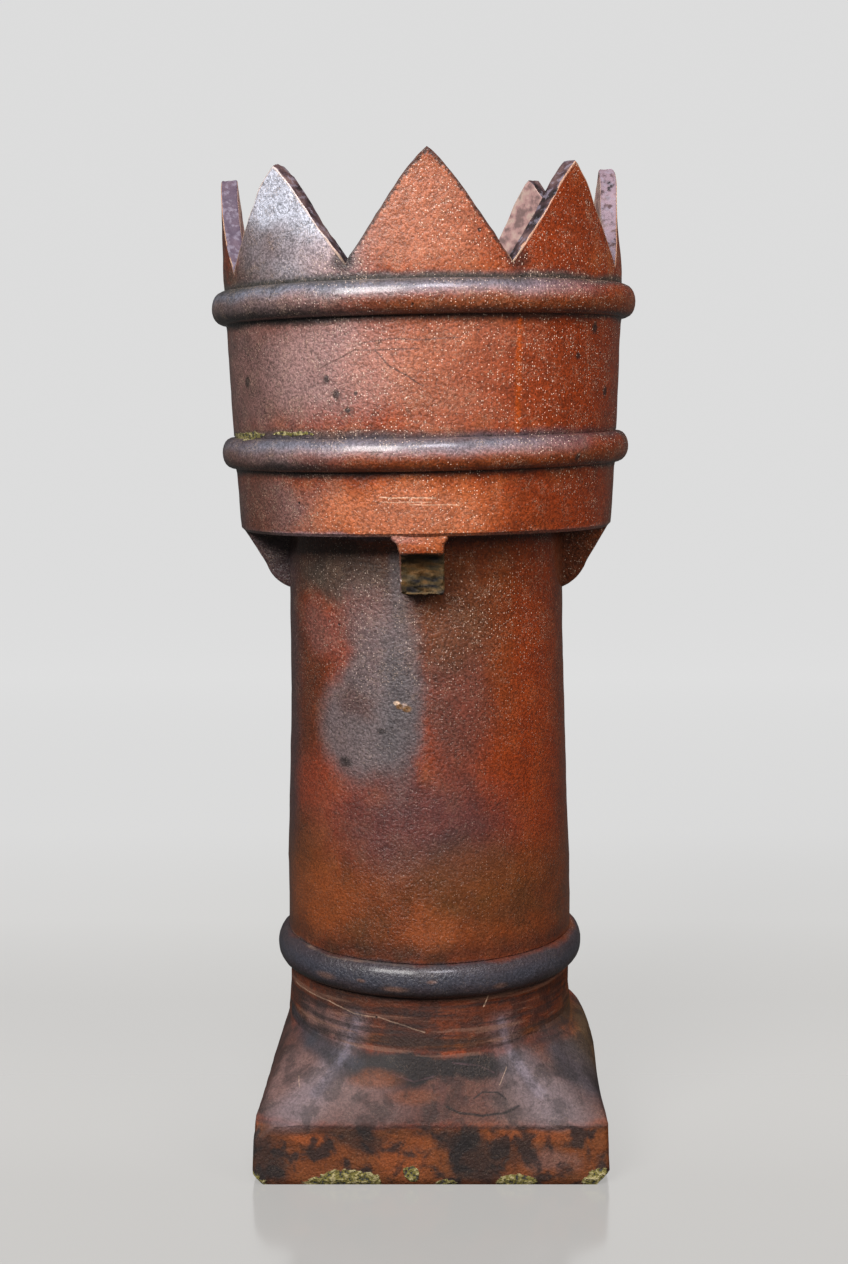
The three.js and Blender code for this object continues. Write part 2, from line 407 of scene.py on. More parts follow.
    def wear(self, points: Points) -> None:
        """Knocks off the chipped and worn corners of the plinth.

        Args:
            points: Every place of the body, changed in place.
        """
        foot, edge, top = self.foot_half, self.plinth_half, self.plinth_height
        knocks = [
            Knock((-edge + 0.019, -edge, top), (-0.55, -0.62, 0.62), 0.0011),
            Knock((-edge, -edge, top - 0.015), (-0.75, -0.66, 0.12), 0.0008),
            Knock((-foot + 0.010, -edge, 0.0), (-0.72, -0.3, -0.62)),
            Knock((foot - 0.013, -edge, 0.0), (0.70, -0.3, -0.64)),
            Knock((foot - 0.005, -edge, 0.0), (0.86, -0.42, -0.28)),
            Knock((edge, edge - 0.006, 0.0), (0.5, 0.6, -0.6)),
            Knock((-edge, edge - 0.004, 0.0), (-0.5, 0.6, -0.6)),
        ]
        for knock in knocks:
            knock.strike(points)

    def build(self) -> bpy.types.Object:
        """Spins the body and shapes its foot.

        Returns:
            The closed body.
        """
        piece = draw_outline("foot_and_shaft", self.outer_profile() + self.inner_profile())
        spin_round(piece, self.columns)
        points = places(piece)
        self.shape_foot(points)
        self.wear(points)
        put(piece, points)
        return piece


def half_round(radius: float, foot: float, top: float, proud: float, steps: int) -> list[tuple[float, float]]:
    """A bead's profile, from its foot to its top.

    Args:
        radius: Radius of the wall that it stands on.
        foot: Height of its foot.
        top: Height of its top.
        proud: How far it stands out.
        steps: Number of steps along it.

    Returns:
        The points along the bead.
    """
    centre, half = (foot + top) / 2, (top - foot) / 2
    turns = [math.pi * (i / steps - 0.5) for i in range(steps + 1)]
    return [(radius + proud * math.cos(t) ** 0.8, centre + half * math.sin(t)) for t in turns]


@dataclass
class Collar:
    """The wide collar with its lip, its two beads and the crown of teeth cut into its top.

    A bead is its foot, its top and how proud it stands. Nicks and ripples are a depth and a length.
    """

    columns: int = 288
    foot: float = 0.589
    foot_radius: float = 0.175
    top_radius: float = 0.186
    wall: float = 0.015
    lip: float = 0.004
    arris: float = 0.0016
    bead_gap: float = 0.0015
    valley: float = 0.824
    tip: float = 0.914
    teeth: int = 8
    blunt: float = 0.018
    blunt_half: float = 0.019
    crown_turn: float = math.radians(1.9)
    back_shift: float = math.radians(3.5)
    lip_rise: float = 0.0036
    lip_bend: float = 0.035
    nicks: tuple[float, float] = (0.0009, 0.004)
    ripples: tuple[float, float] = (0.0012, 0.013)
    growth: tuple[float, ...] = (0.0025, -0.004, 0.003, 0.0105, 0.0, 0.002, -0.002, -0.004)
    lower_bead: tuple[float, float, float] = (0.648, 0.677, 0.012)
    upper_bead: tuple[float, float, float] = (0.7805, 0.811, 0.013)

    def radius(self, height: float) -> float:
        """Outer radius of the collar's wall at a height."""
        share = min(max((height - self.foot) / (self.valley - self.foot), 0.0), 1.0)
        return float(blend(self.foot_radius, self.top_radius, share**0.8))

    def wall_run(self, low: float, high: float, steps: int, inset: float = 0.0) -> list[tuple[float, float]]:
        """Points up or down the wall between two heights, inset from its outside."""
        heights = [blend(low, high, i / steps) for i in range(steps)]
        return [(self.radius(z) - inset, z) for z in heights]

    def profile(self) -> list[tuple[float, float]]:
        """Draws the collar's wall, with its top still level.

        Returns:
            The closed outline, up the outside and down the inside.
        """
        arris = self.arris
        outer, inner = self.top_radius, self.top_radius - self.wall
        points = [(self.radius(self.foot) - self.lip * 0.6, self.foot)]
        points += self.wall_run(self.foot + self.lip * 0.7, self.lower_bead[0], 12)
        for foot, top, proud in (self.lower_bead, self.upper_bead):
            points += half_round(self.radius((foot + top) / 2), foot, top, proud, 12)
            if top < self.upper_bead[0]:
                points += self.wall_run(top + self.bead_gap, self.upper_bead[0], 20)
        points += self.wall_run(self.upper_bead[1] + self.bead_gap, self.tip - arris, 28)
        points += [(outer, self.tip - arris), (outer - arris * 0.4, self.tip - arris * 0.35)]
        points += [(outer - arris, self.tip)]
        points += run((outer - arris * 2, self.tip), (inner + arris, self.tip), 3)
        points += [(inner + arris, self.tip), (inner + arris * 0.3, self.tip - arris * 0.4)]
        points += self.wall_run(self.tip - arris, self.upper_bead[1], 18, self.wall)
        points += self.wall_run(self.upper_bead[1], self.foot + 0.002, 20, self.wall)
        inner_foot = (self.radius(self.foot) - self.wall, self.foot + 0.001)
        points += run(inner_foot, (self.foot_radius - self.lip, self.foot), 3)
        return points

    def tooth_height(self, turn: Points) -> Points:
        """Height of the crown's edge at each turn.

        Args:
            turn: Turn of each place, before the crown's own turn.

        Returns:
            The height of the edge there.
        """
        pitch = math.tau / self.teeth
        shifted = turn - self.back_shift * np.clip(1 - np.abs(turn - 3 * pitch) / pitch, 0.0, 1.0)
        off = np.abs((shifted + pitch / 2) % pitch - pitch / 2)
        half = self.top_radius * np.sin(off)
        valley_half = self.top_radius * math.sin(pitch / 2)
        blunt_start = self.tip - self.blunt
        slope = (blunt_start - self.valley) / (valley_half - self.blunt_half)
        flank = self.valley + (valley_half - half) * slope
        point = self.tip - self.blunt * np.clip(half / self.blunt_half, 0, 1) ** 1.15
        edge = np.where(half < self.blunt_half, point, flank)
        grown = np.array(self.growth)[np.round(shifted / pitch).astype(int) % self.teeth]
        return self.valley + (edge - self.valley) * (1 + grown / (self.tip - self.valley))

    def cut_crown(self, points: Points) -> None:
        """Lowers the collar's top rows to the sloping edges of the teeth.

        Args:
            points: Every place of the collar, changed in place.
        """
        base = self.upper_bead[1] + 0.001
        high = points[:, 2] > base
        part = points[high]
        turn = np.arctan2(part[:, 0], -part[:, 1])
        level = part * (1, 1, 0)
        (nick, nick_size), (ripple, ripple_size) = self.nicks, self.ripples
        ragged = nick * lumps(level, nick_size, 5.1) + ripple * lumps(level, ripple_size, 9.4)
        edge = self.tooth_height(turn) + ragged
        share = np.clip((part[:, 2] - base) / (self.tip - self.arris - base), 0.0, 1.0)
        over = np.maximum(part[:, 2] - (self.tip - self.arris), 0.0)
        part[:, 2] = base + (edge - base) * share + over
        points[high] = part

    def build(self) -> bpy.types.Object:
        """Spins the collar, cuts its crown and turns the crown as it was cut.

        Returns:
            The closed collar.
        """
        piece = draw_outline("collar", self.profile())
        spin_round(piece, self.columns)
        points = places(piece)
        self.cut_crown(points)
        facing = np.clip(-points[:, 1] / self.top_radius, 0.0, 1.0) ** 2
        near_lip = smooth_step(self.foot + self.lip_bend, self.foot, points[:, 2])
        points[:, 2] += self.lip_rise * facing * near_lip
        cos, sin = math.cos(self.crown_turn), math.sin(self.crown_turn)
        x, y = points[:, 0].copy(), points[:, 1].copy()
        points[:, 0], points[:, 1] = x * cos - y * sin, x * sin + y * cos
        put(piece, points)
        return piece


@dataclass
class Web:
    """One of the four brackets that carry the collar, drawn from the side and given its width."""

    body: FootAndShaft
    collar: Collar
    turn: float
    width: float = 0.039
    drop: float = 0.057
    knee_rise: float = 0.023
    knee_reach: float = 0.021
    lip_inset: float = 0.003
    voxel: float = 0.0022
    soft_edge: float = 0.0022
    unevenness: float = 0.0005
    fillet: float = 0.007
    fillet_share: float = 0.6

    def outline(self) -> list[tuple[float, float]]:
        """Draws a whole web, from its root in the shaft round its curved toe.

        Returns:
            Radius and height of each corner.
        """
        root = self.body.shaft_top_radius - self.body.shaft_wall / 2
        toe = self.collar.foot - self.drop
        face = self.body.shaft_top_radius
        lip = self.collar.foot_radius - self.lip_inset
        top = self.collar.radius(self.body.shaft_top) - self.collar.wall / 2
        bend = [(face + self.knee_reach * t * (1.49 - 0.49 * t), toe + self.knee_rise * t * (0.64 + 0.36 * t))
                for t in (i / 6 for i in range(1, 7))]
        return [(root, toe), (face, toe), *bend, (lip, self.collar.foot), (top, self.body.shaft_top),
                (root, self.body.shaft_top)]

    def shape(self, points: Points) -> Points:
        """Gives the web's faces the slightly uneven surface of pressed clay."""
        return points + self.unevenness * lumps(points, 0.012, 2.2)[:, None]

    def build(self) -> bpy.types.Object:
        """Makes the web as a closed solid in its place.

        Returns:
            The web.
        """
        piece = draw_outline("web", self.outline())
        take(piece)
        bpy.ops.object.mode_set(mode="EDIT")
        bpy.ops.mesh.select_all(action="SELECT")
        bpy.ops.mesh.edge_face_add()
        bpy.ops.mesh.extrude_region_move(TRANSFORM_OT_translate={"value": (0, self.width, 0)})
        bpy.ops.mesh.select_all(action="SELECT")
        bpy.ops.transform.translate(value=(0, -self.width / 2, 0))
        bpy.ops.mesh.normals_make_consistent(inside=False)
        bpy.ops.object.mode_set(mode="OBJECT")
        bevel = piece.modifiers.new("soft_edges", "BEVEL")
        bevel.width = self.soft_edge
        bevel.segments = 2
        remesh = piece.modifiers.new("clay", "REMESH")
        remesh.mode = "VOXEL"
        remesh.voxel_size = self.voxel
        apply_all(piece)
        points = self.shape(places(piece))
        flare = np.clip((points[:, 2] - self.collar.foot + self.fillet) / self.fillet, 0.0, 1.0) ** 2.5
        points[:, 1] *= 1.0 + flare * 2 * self.fillet * self.fillet_share / self.width
        angle = self.turn - math.pi / 2
        x, y = points[:, 0].copy(), points[:, 1].copy()
        points[:, 0] = x * math.cos(angle) - y * math.sin(angle)
        points[:, 1] = x * math.sin(angle) + y * math.cos(angle)
        put(piece, points)
        return piece


@dataclass
class BrokenWeb(Web):
    """The front web, whose lower part has broken away in a rough hollow.

    A facet, crumb or wave is a depth and a length.
    """

    broken_drop: float = 0.050
    break_depth: float = 0.014
    recess: float = 0.013
    hollow: float = 0.004
    facet: tuple[float, float] = (0.0028, 0.011)
    crumb: tuple[float, float] = (0.0012, 0.004)
    toe_wave: tuple[float, float] = (0.0015, 0.007)
    clear_of_shaft: float = 0.008
    fillet_reach: float = 0.012
    left_fillet: float = 0.0022
    left_shift: float = 0.0015

    def outline(self) -> list[tuple[float, float]]:
        """Draws what the break left of the web.

        Returns:
            Radius and height of each corner.
        """
        root = self.body.shaft_top_radius - self.body.shaft_wall / 2
        toe = self.collar.foot - self.broken_drop
        face = self.body.shaft_top_radius
        lip = self.collar.foot_radius - self.lip_inset
        top = self.collar.radius(self.body.shaft_top) - self.collar.wall / 2
        break_top = self.collar.foot - self.break_depth
        return [(root, toe), (face + self.knee_reach, toe), (lip - self.recess, break_top - 0.006),
                (lip - self.recess * 0.5, break_top), (lip - 0.001, break_top + 0.001),
                (lip, self.collar.foot),
                (top, self.body.shaft_top), (root, self.body.shaft_top)]

    def shape(self, points: Points) -> Points:
        """Roughens the break with coarse and fine facets.

        Args:
            points: Every place of the web, changed in place.

        Returns:
            The places.
        """
        height, reach = points[:, 2], points[:, 0]
        low = self.collar.foot - self.broken_drop - 0.001
        high = self.collar.foot - self.break_depth + 0.002
        inside = (height < high) & (height > low + 0.002)
        inside = inside & (reach > self.body.shaft_top_radius + self.clear_of_shaft)
        rough = self.facet[0] * lumps(points, self.facet[1], 8.3, 3)
        rough = rough + self.crumb[0] * lumps(points, self.crumb[1], 1.9)
        hollow = self.hollow * np.clip(1 - (points[:, 1] / (self.width / 2)) ** 2, 0, 1)
        points[:, 0] += np.where(inside, rough - hollow, 0.0)
        waves = self.toe_wave[0] * lumps(points, self.toe_wave[1], 4.4)
        points[:, 2] += np.where(height < low + 0.004, waves, 0.0)
        sloped = smooth_step(high - 0.004, self.collar.foot + 0.003, height)
        sloped = sloped * np.clip(-points[:, 1] / self.fillet_reach, 0.0, 1.0)
        points[:, 1] -= self.left_fillet * sloped + self.left_shift
        return points


@dataclass(frozen=True)
class Sorting:
    """Where one finish of the pot gives way to another, on its true form."""

    skin: float = 0.001
    sole: float = 0.0005
    flue_radius: float = 0.1375
    collar_radius: float = 0.176
    cut_rise: float = 0.004
    cut_facing: float = 0.62
    break_front: float = 0.128
    break_half: float = 0.0225
    break_drop: float = 0.0125
    break_foot: float = 0.536
    break_inset: float = 0.0065
    break_root: float = 0.1345


@dataclass
class ChimneyPot:
    """The whole pot: its parts joined into one mesh, leaning as the fired one does.

    A wave or ripple is a depth and a length. A start, an end or a side is where something sets in and
    where it is there in full.
    """

    body: FootAndShaft = field(default_factory=FootAndShaft)
    collar: Collar = field(default_factory=Collar)
    sorting: Sorting = Sorting()
    web_turn: float = math.radians(-1.0)
    lean: float = 0.006
    lean_bend: float = 0.0067
    collar_tilt: float = math.radians(1.1)
    tilted_heights: tuple[float, float] = (0.50, 0.64)
    standing: tuple[float, float] = (0.004, 0.03)
    wave: tuple[float, float] = (0.0011, 0.16)
    ripple: tuple[float, float] = (0.00035, 0.022)
    rim_slant: float = 0.58
    arris_wave: tuple[float, float] = (0.0016, 0.035)
    arris_reach: float = 0.012
    bead_slope: float = 0.016
    bead_start: tuple[float, float] = (0.145, 0.165)
    bead_end: tuple[float, float] = (0.24, 0.20)
    tooth_lean: float = 0.0035
    tooth_start: tuple[float, float] = (0.82, 0.88)
    tooth_side: tuple[float, float] = (0.10, 0.18)

    def webs(self) -> list[bpy.types.Object]:
        """Builds the broken web in front and the three whole ones.

        Returns:
            The four webs.
        """
        made = [BrokenWeb(self.body, self.collar, self.web_turn).build()]
        for quarter in (1, 2, 3):
            made.append(Web(self.body, self.collar, self.web_turn + quarter * math.pi / 2).build())
        return made

    def settle(self, points: Points) -> Points:
        """Gives the pot the lean, tilt and waviness that drying and firing left.

        Args:
            points: The true places, one row each.

        Returns:
            The settled places.
        """
        height = points[:, 2].copy()
        radial = np.stack([points[:, 0], points[:, 1], np.zeros(len(points))], axis=1)
        radial /= np.maximum(np.linalg.norm(radial, axis=1), TINY)[:, None]
        free = smooth_step(*self.standing, height)
        (wave, wave_size), (ripple, ripple_size) = self.wave, self.ripple
        swell = wave * lumps(points, wave_size, 1.3) + ripple * lumps(points, ripple_size, 6.1)
        settled = points + radial * (swell * free)[:, None]
        tilted = smooth_step(*self.tilted_heights, height)
        settled[:, 2] += points[:, 0] * math.tan(self.collar_tilt) * tilted
        arris = np.clip(1.0 - np.abs(height - self.body.plinth_height) / self.arris_reach, 0.0, 1.0)
        settled[:, 2] += self.arris_wave[0] * arris * lumps(points, self.arris_wave[1], 7.7, 3)
        near_bead = smooth_step(*self.bead_start, height) * smooth_step(*self.bead_end, height)
        settled[:, 2] += self.bead_slope * np.maximum(points[:, 0], 0.0) * near_bead
        right_teeth = smooth_step(*self.tooth_start, height) * smooth_step(*self.tooth_side, points[:, 0])
        settled[:, 0] -= self.tooth_lean * right_teeth
        settled[:, 0] -= self.lean * height + self.lean_bend * height**4
        return settled

    def mark_rim(self, piece: bpy.types.Object, true_places: Points) -> None:
        """Stores how far each place lies below the crown's edge, across its slope.

        Args:
            piece: The joined pot.
            true_places: Its places before it was settled.
        """
        turn = np.arctan2(true_places[:, 0], -true_places[:, 1]) - self.collar.crown_turn
        below = (self.collar.tooth_height(turn) - true_places[:, 2]) * self.rim_slant
        reach = np.hypot(true_places[:, 0], true_places[:, 1])
        below = np.where(reach > self.collar.foot_radius - 0.02, below, 1.0)
        layer = piece.data.attributes.new(RIM, "FLOAT", "POINT")
        layer.data.foreach_set("value", np.clip(below, 0.0, 1.0).astype(np.float32))

    def sort_faces(self, piece: bpy.types.Object, true_places: Points) -> None:
        """Gives each face its finish by where it lies on the true form.

        Args:
            piece: The joined pot.
            true_places: Its places before it was settled.
        """
        mesh = piece.data
        count = len(mesh.polygons)
        normals = np.empty(count * 3)
        mesh.polygons.foreach_get("normal", normals)
        normals = normals.reshape(-1, 3)
        middles = np.array([true_places[list(p.vertices)].mean(axis=0) for p in mesh.polygons])
        radius = np.hypot(middles[:, 0], middles[:, 1])
        height = middles[:, 2]
        outward = (normals[:, 0] * middles[:, 0] + normals[:, 1] * middles[:, 1]) / np.maximum(radius, TINY)
        finish = np.full(count, Face.GLAZE.value)
        level = self.sorting
        in_flue = (outward < -0.4) & (radius < level.flue_radius)
        in_flue = in_flue & (height > level.skin) & (height < self.body.shaft_top + level.skin)
        in_foot = (outward < -0.3) & (height < self.body.neck_foot) & (height > level.sole)
        inward = (outward < -0.5) & (radius < level.collar_radius)
        in_collar = inward & (height > self.collar.foot + level.skin)
        finish[in_flue | in_foot | in_collar] = Face.INSIDE.value
        finish[(height < level.sole) & (normals[:, 2] < -0.9)] = Face.INSIDE.value
        cut = (height > self.collar.upper_bead[1] + level.cut_rise) & (np.abs(outward) < level.cut_facing)
        finish[cut] = Face.CUT.value
        broken = (middles[:, 1] < -level.break_front) & (np.abs(middles[:, 0]) < level.break_half)
        broken = broken & (height < self.collar.foot - level.break_drop) & (height > level.break_foot)
        broken = broken & (radius < self.collar.foot_radius - level.break_inset) & (radius > level.break_root)
        finish[broken] = Face.BROKEN.value
        mesh.polygons.foreach_set("material_index", finish.astype(np.int32))

    def build(self) -> bpy.types.Object:
        """Joins the parts, sorts the faces and settles the form.

        Returns:
            The finished mesh of the pot.
        """
        pot = self.body.build()
        pot.name = "pot"
        pot.data.name = "pot"
        for web in self.webs():
            join_solid(pot, web)
        join_solid(pot, self.collar.build())
        true_places = places(pot)
        self.sort_faces(pot, true_places)
        self.mark_rim(pot, true_places)
        put(pot, self.settle(true_places))
        take(pot)
        bpy.ops.object.shade_smooth_by_angle(angle=SHARP_EDGE)
        return pot


# Finishes


class Signal:
    """One output socket of a shader, with Python's operators for sums on plain numbers."""

    def __init__(self, recipe: "Recipe", socket: bpy.types.NodeSocket) -> None:
        """Wraps a socket of a recipe."""
        self.recipe = recipe
        self.socket = socket

    def _sum(self, operation: str, *values: "Signal | float") -> "Signal":
        """Adds a Math node on the values given."""
        node = self.recipe.add("ShaderNodeMath", {"operation": operation}, dict(enumerate(values)))
        return Signal(self.recipe, node.outputs[0])

    def __add__(self, other: "Signal | float") -> "Signal":
        """Adds."""
        return self._sum("ADD", self, other)

    def __radd__(self, other: float) -> "Signal":
        """Adds, with the number first."""
        return self._sum("ADD", other, self)

    def __sub__(self, other: "Signal | float") -> "Signal":
        """Takes away."""
        return self._sum("SUBTRACT", self, other)

    def __rsub__(self, other: float) -> "Signal":
        """Takes away from a number."""
        return self._sum("SUBTRACT", other, self)

    def __mul__(self, other: "Signal | float") -> "Signal":
        """Multiplies."""
        return self._sum("MULTIPLY", self, other)

    def __rmul__(self, other: float) -> "Signal":
        """Multiplies, with the number first."""
        return self._sum("MULTIPLY", other, self)

    def between(self, low: float, high: float) -> "Signal":
        """Rises smoothly from 0 at low to 1 at high, or falls where low is the larger.

        Args:
            low: Value that gives 0.
            high: Value that gives 1.

        Returns:
            The share.
        """
        ends = {"Value": self, "From Min": low, "From Max": high}
        node = self.recipe.add("ShaderNodeMapRange", {"interpolation_type": "SMOOTHSTEP"}, ends)
        return Signal(self.recipe, node.outputs["Result"])

    def least(self, other: "Signal | float") -> "Signal":
        """The smaller of two."""
        return self._sum("MINIMUM", self, other)

    def most(self, other: "Signal | float") -> "Signal":
        """The larger of two."""
        return self._sum("MAXIMUM", self, other)

    def size(self) -> "Signal":
        """The value without its sign."""
        return self._sum("ABSOLUTE", self)

    def root(self) -> "Signal":
        """The square root."""
        return self._sum("SQRT", self)

    def turn_towards(self, ahead: "Signal") -> "Signal":
        """The angle from straight ahead to this much aside, in radians."""
        return self._sum("ARCTAN2", self, ahead)


class Recipe:
    """A material in the making: adds nodes and gives their sockets back as signals."""

    def __init__(self, name: str) -> None:
        """Starts an empty material with its shader and output.

        Args:
            name: Name of the material.
        """
        self.material = bpy.data.materials.new(name)
        self.material.use_nodes = True
        self.tree = self.material.node_tree
        self.tree.nodes.clear()
        self.shader = self.tree.nodes.new("ShaderNodeBsdfPrincipled")
        output = self.tree.nodes.new("ShaderNodeOutputMaterial")
        self.tree.links.new(self.shader.outputs[0], output.inputs["Surface"])
        place = self.add("ShaderNodeTexCoord", {}, {})
        self.place = Signal(self, place.outputs["Object"])

    def add(self, kind: str, settings: Mapping[str, object],
            values: Mapping[str | int, object]) -> bpy.types.Node:
        """Adds one node.

        Args:
            kind: The node's type.
            settings: Its own settings, set first. "stops" are the places and colours of a ramp.
            values: The number, colour or signal of each input, by its name or place.

        Returns:
            The node.
        """
        node = self.tree.nodes.new(kind)
        for name, value in settings.items():
            if name == "stops":
                self._set_stops(node.color_ramp, value)
            else:
                setattr(node, name, value)
        for name, value in values.items():
            socket = node.inputs[name]
            if isinstance(value, Signal):
                self.tree.links.new(value.socket, socket)
            elif isinstance(value, tuple) and len(value) == 3 and socket.type == "RGBA":
                socket.default_value = (*value, 1.0)
            else:
                socket.default_value = value
        return node

    @staticmethod
    def _set_stops(ramp: bpy.types.ColorRamp, stops: Sequence[tuple[float, Colour]]) -> None:
        """Places the stops of a colour ramp.

        Args:
            ramp: The ramp, with fewer stops or as many.
            stops: Place and colour of each stop.
        """
        while len(ramp.elements) < len(stops):
            ramp.elements.new(1.0)
        for element, (place, colour) in zip(ramp.elements, stops):
            element.position = place
            element.color = (*colour, 1.0)

    def noise(self, scale: float, detail: float = 3.0, vector: Signal | None = None,
              twist: float = 0.0) -> Signal:
        """Soft noise, about 0.3 to 0.7, at a number of lumps to the metre."""
        values = {"Vector": vector or self.place, "Scale": scale, "Detail": detail, "Distortion": twist}
        return Signal(self, self.add("ShaderNodeTexNoise", {}, values).outputs[0])

    def spots(self, scale: float, radius: float, share: float, vector: Signal | None = None) -> Signal:
        """Round spots, one to a cell at most.

        Args:
            scale: Cells to the metre.
            radius: Radius of a spot as a share of a cell.
            share: Share of the cells that have a spot.
            vector: Where to read it, or the place on the piece.

        Returns:
            1 in a spot and 0 outside it.
        """
        cell = self.add("ShaderNodeTexVoronoi", {}, {"Vector": vector or self.place, "Scale": scale})
        distance = Signal(self, cell.outputs["Distance"])
        parts = self.add("ShaderNodeSeparateColor", {}, {0: Signal(self, cell.outputs["Color"])})
        pick = Signal(self, parts.outputs[0])
        return distance.between(radius, radius * 0.35) * pick.between(share + 0.02, share)

    def mix(self, start: Signal | Colour, end: Signal | Colour, share: Signal | float) -> Signal:
        """Mixes two colours."""
        node = self.add("ShaderNodeMix", {"data_type": "RGBA"}, {0: share, 6: start, 7: end})
        return Signal(self, node.outputs[2])

    def vector(self, operation: str, first: object, second: object = (0.0, 0.0, 0.0), out: int = 0) -> Signal:
        """One step of vector maths."""
        node = self.add("ShaderNodeVectorMath", {"operation": operation}, {0: first, 1: second})
        return Signal(self, node.outputs[out])

    def ramp(self, value: Signal, stops: Sequence[tuple[float, Colour]]) -> Signal:
        """Colours a value by a ramp."""
        return Signal(self, self.add("ShaderNodeValToRGB", {"stops": stops}, {0: value}).outputs[0])

    def relief(self, height: Signal, depth: float, strength: float, below: Signal | None = None) -> Signal:
        """Adds a bump.

        Args:
            height: How high each place stands, as a share of the depth.
            depth: Depth of the bump in metres.
            strength: How strongly it shows.
            below: The bump that it lies on, if any.

        Returns:
            The bumped normal.
        """
        values = {"Height": height, "Distance": depth, "Strength": strength}
        if below is not None:
            values["Normal"] = below
        return Signal(self, self.add("ShaderNodeBump", {}, values).outputs[0])

    def dress(self, colour: Signal, roughness: Signal | float, normal: Signal | None = None,
              **plain: float) -> bpy.types.Material:
        """Feeds the shader and hands over the material.

        Args:
            colour: The base colour.
            roughness: The roughness.
            normal: The bumped normal, if there is one.
            plain: Values that are the same all over, by socket name with _ for a space.

        Returns:
            The material.
        """
        for name, value in (("Base Color", colour), ("Roughness", roughness), ("Normal", normal)):
            if isinstance(value, Signal):
                self.tree.links.new(value.socket, self.shader.inputs[name])
            elif value is not None:
                self.shader.inputs[name].default_value = value
        for name, value in plain.items():
            self.shader.inputs[name.replace("_", " ")].default_value = value
        return self.material


@dataclass(frozen=True)
class ColourPatch:
    """A soft patch of colour on the unrolled pot: its middle and how far it reaches.

    Turns are in degrees from the front, heights in metres.
    """

    turn: float
    height: float
    turn_reach: float
    height_reach: float
    colour: Colour
    strength: float = 0.8
    softness: float = 1.0


@dataclass(frozen=True)
class Streak:
    """A line of colour through a row of places on the unrolled pot, with its half width in metres."""

    route: tuple[tuple[float, float], ...]
    half_width: float
    colour: Colour
    strength: float = 0.8
    radius: float = 0.135


@dataclass(frozen=True)
class Band:
    """A band of colour all round the pot, between two heights, over a range of turns."""

    foot: float
    top: float
    colour: Colour
    strength: float = 0.8
    turns: tuple[float, float] = (-400.0, 400.0)
    fade: float = 0.004
    turn_fade: float = 12.0


@dataclass(frozen=True)
class Palette:
    """The clay and glaze colours of the pot, and the colours of its painted sheen, glints, highlights and
    shade.
    """

    orange: Colour = (0.34, 0.082, 0.020)
    bright: Colour = (0.46, 0.120, 0.036)
    rust: Colour = (0.24, 0.034, 0.005)
    red: Colour = (0.30, 0.050, 0.022)
    brown: Colour = (0.095, 0.026, 0.011)
    plum: Colour = (0.090, 0.042, 0.036)
    dusk: Colour = (0.165, 0.102, 0.096)
    wine: Colour = (0.060, 0.034, 0.038)
    steel: Colour = (0.155, 0.175, 0.225)
    salmon: Colour = (0.39, 0.138, 0.078)
    ember: Colour = (0.38, 0.060, 0.004)
    pink: Colour = (0.35, 0.210, 0.195)
    mauve: Colour = (0.30, 0.215, 0.26)
    violet: Colour = (0.115, 0.085, 0.125)
    shell: Colour = (0.44, 0.32, 0.27)
    chestnut: Colour = (0.17, 0.046, 0.012)
    slate: Colour = (0.134, 0.104, 0.106)
    ink: Colour = (0.036, 0.034, 0.042)
    storm: Colour = (0.052, 0.058, 0.078)
    lead: Colour = (0.070, 0.066, 0.072)
    mud: Colour = (0.066, 0.040, 0.036)
    lavender: Colour = (0.26, 0.23, 0.29)
    black: Colour = (0.016, 0.013, 0.013)
    grime_and_shade: Colour = (0.060, 0.060, 0.050)
    olive: Colour = (0.075, 0.050, 0.020)
    umber: Colour = (0.125, 0.044, 0.012)
    cream: Colour = (0.75, 0.52, 0.36)
    glint: Colour = (0.95, 0.74, 0.60)
    sky_sheen: Colour = (0.58, 0.62, 0.72)
    ochre: Colour = (0.16, 0.075, 0.020)
    tan: Colour = (0.24, 0.125, 0.085)
    ridge_highlight: Colour = (0.19, 0.155, 0.175)
    lichen: Colour = (0.19, 0.165, 0.040)
    lichen_pale: Colour = (0.44, 0.38, 0.19)
    soot: Colour = (0.010, 0.009, 0.009)


